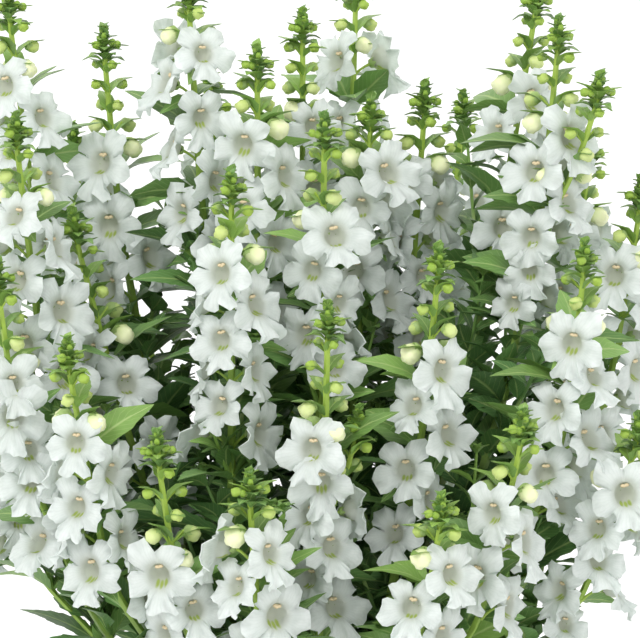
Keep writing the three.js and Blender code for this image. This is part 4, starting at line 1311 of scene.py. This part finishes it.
def bud_model(grid):
    """A bud of unit radius, its stalk end at the origin and its tip at 2.2 along +Z."""
    select_only()
    bpy.ops.mesh.primitive_uv_sphere_add(segments=grid[0], ring_count=grid[1], radius=MM)
    ball = bpy.context.object
    phase = bud_draws.random() * 6
    x, y, z = (np.array([vertex.co for vertex in ball.data.vertices]) / MM).T
    angle = np.arctan2(y, x)
    # Four folds deepen towards the tip, over three broad swells. A crease runs round below the bulging lobes.
    cap = 1 / (1 + np.exp(-(z - 0.3) * 9))
    folds = 1 + (0.05 + 0.12 * cap) * np.cos(4 * angle + phase) + 0.06 * np.cos(3 * angle - phase)
    crease = 1 - 0.13 * np.exp(-((z - 0.32) / 0.16) ** 2) + 0.1 * np.exp(-((z - 0.62) / 0.22) ** 2)
    wide = folds * crease * (0.86 + 0.14 * np.minimum(1, (z + 1) / 0.8))
    points = np.column_stack([x * wide, y * wide, BUD_LENGTH_IN_RADII * (1 + z) / 2])
    ball.data.vertices.foreach_set("co", (points * MM).ravel())
    for loop in ball.data.loops:
        x, y, z = ball.data.vertices[loop.vertex_index].co / MM
        turn = math.atan2(y, x) / (2 * math.pi)
        ball.data.uv_layers[0].data[loop.index].uv = (turn + 0.5, z / BUD_LENGTH_IN_RADII)
    return model_of(ball)


def calyx_model():
    """The sepals round the foot of a bud of unit radius: a closed zigzag cup, thin at its rim."""
    count = 2 * SEPALS
    turns = [(math.cos(math.pi * k / SEPALS), math.sin(math.pi * k / SEPALS)) for k in range(count)]
    rim = [SEPAL_NOTCH, SEPAL_TIP] * SEPALS
    points = [(0, 0, -0.12)] + [(out * x, out * y, up) for (x, y), (out, up) in zip(turns, rim)]
    points += [(SEPAL_FOOT[0] * x, SEPAL_FOOT[0] * y, SEPAL_FOOT[1]) for x, y in turns] + [(0, 0, 0.3)]
    uvs = [(0, 0.5)] + [(up, 0.5) for out, up in rim] + [(0.1, 0.5)] * count + [(0, 0.5)]
    faces = []
    for k in range(count):
        a, b = 1 + k, 1 + (k + 1) % count
        faces += [(0, b + count, a + count), (a + count, b + count, b, a), (a, b, 1 + 2 * count)]
    return model_from(points, faces, uvs)


bud_models = [bud_model(BUD_GRID) for _ in range(BUD_KINDS)]
bead_models = [bud_model(BEAD_GRID) for _ in range(BUD_KINDS)]
calyx = calyx_model()


def add_bud(bundle, model, foot, ahead, radius, age, calyx_age):
    """A bud and the calyx that holds its foot."""
    axes = axes_along(ahead)
    bundle.add(model, foot + radius * (model["points"] @ axes), (age, 0.5))
    bundle.add(calyx, foot + radius * (calyx["points"] @ axes), (calyx_age, bud_draws.random()), 1)


def fill_buds(bundle, shoot):
    for organ in shoot["organs"]:
        if organ["kind"] == "bud":
            neck, nod, radius = bud_place(organ, *organ["built"])
            radius *= 1 + BUD_SWELL * organ["age"] ** 4
            add_bud(bundle, bud_models[bud_draws.integers(BUD_KINDS)], neck, nod, radius, organ["age"], 0.2)
        elif organ["kind"] == "bloom" and organ["built"]:
            middle, axes, size = bloom_place(organ, *organ["built"])
            foot = middle - axes[2] * FLOWER_CALYX_BACK_MM * size
            points = foot + FLOWER_CALYX_MM * size * (calyx["points"] @ axes)
            bundle.add(calyx, points, (0.35, bud_draws.random()), 1)
    for k in range(BEADS):
        below, rise, stalk, radius = (
            stepped(series, k) for series in (BEAD_BELOW_MM, BEAD_RISE, BEAD_STALK_MM, BEAD_RADIUS_MM))
        ahead = way(shoot["turn"] + 45 + GOLDEN_TURN * k, rise)
        foot = axis_point(shoot, below) + ahead * stalk
        add_bud(bundle, bead_models[k % BUD_KINDS], foot, ahead, radius, 0.05, 0.1)


# Bud skin: closed petals, satin and a little translucent, green when young and cream when about to open.
bud_skin, add = emptied(bpy.data.materials.new("closed_petal_bud"))
round_bud = add("UVMap", {"uv_map": "pattern"})
pattern = add("SeparateXYZ", links={0: round_bud})
tone = add("SeparateXYZ", links={0: add("UVMap", {"uv_map": "tone"})})
age = add("ValToRGB", {"stops": BUD_COLOURS}, {0: tone.outputs["X"]})
foot = add("MapRange", {"From Min": 0.15, "From Max": 0.75, "To Min": 0.65, "To Max": 0}, {
    0: pattern.outputs["Y"]})
greened = add("Mix", {"data_type": "RGBA", 7: linear(BUD_FOOT_HEX)}, {0: foot, 6: age})
drawn_out = add("Mapping", {"Scale": (9, 2.2, 1)}, {"Vector": round_bud})
folds = add("TexNoise", {"Scale": 1.0, "Detail": 2}, {"Vector": drawn_out})
bump = add("Bump", {"Strength": 0.4, "Distance": 0.0006}, {"Height": folds})
shader = add("BsdfPrincipled", {
    "Roughness": 0.5, "IOR": 1.4, "Subsurface Weight": 0.25, "Subsurface Radius": (0.002, 0.002, 0.001),
    "Subsurface Scale": 0.6,
}, {"Base Color": greened, "Normal": bump})
add("OutputMaterial", links={"Surface": shader})
dress_stems("buds", [bud_skin, leaf_skin], BUD_CREASE, fill_buds)
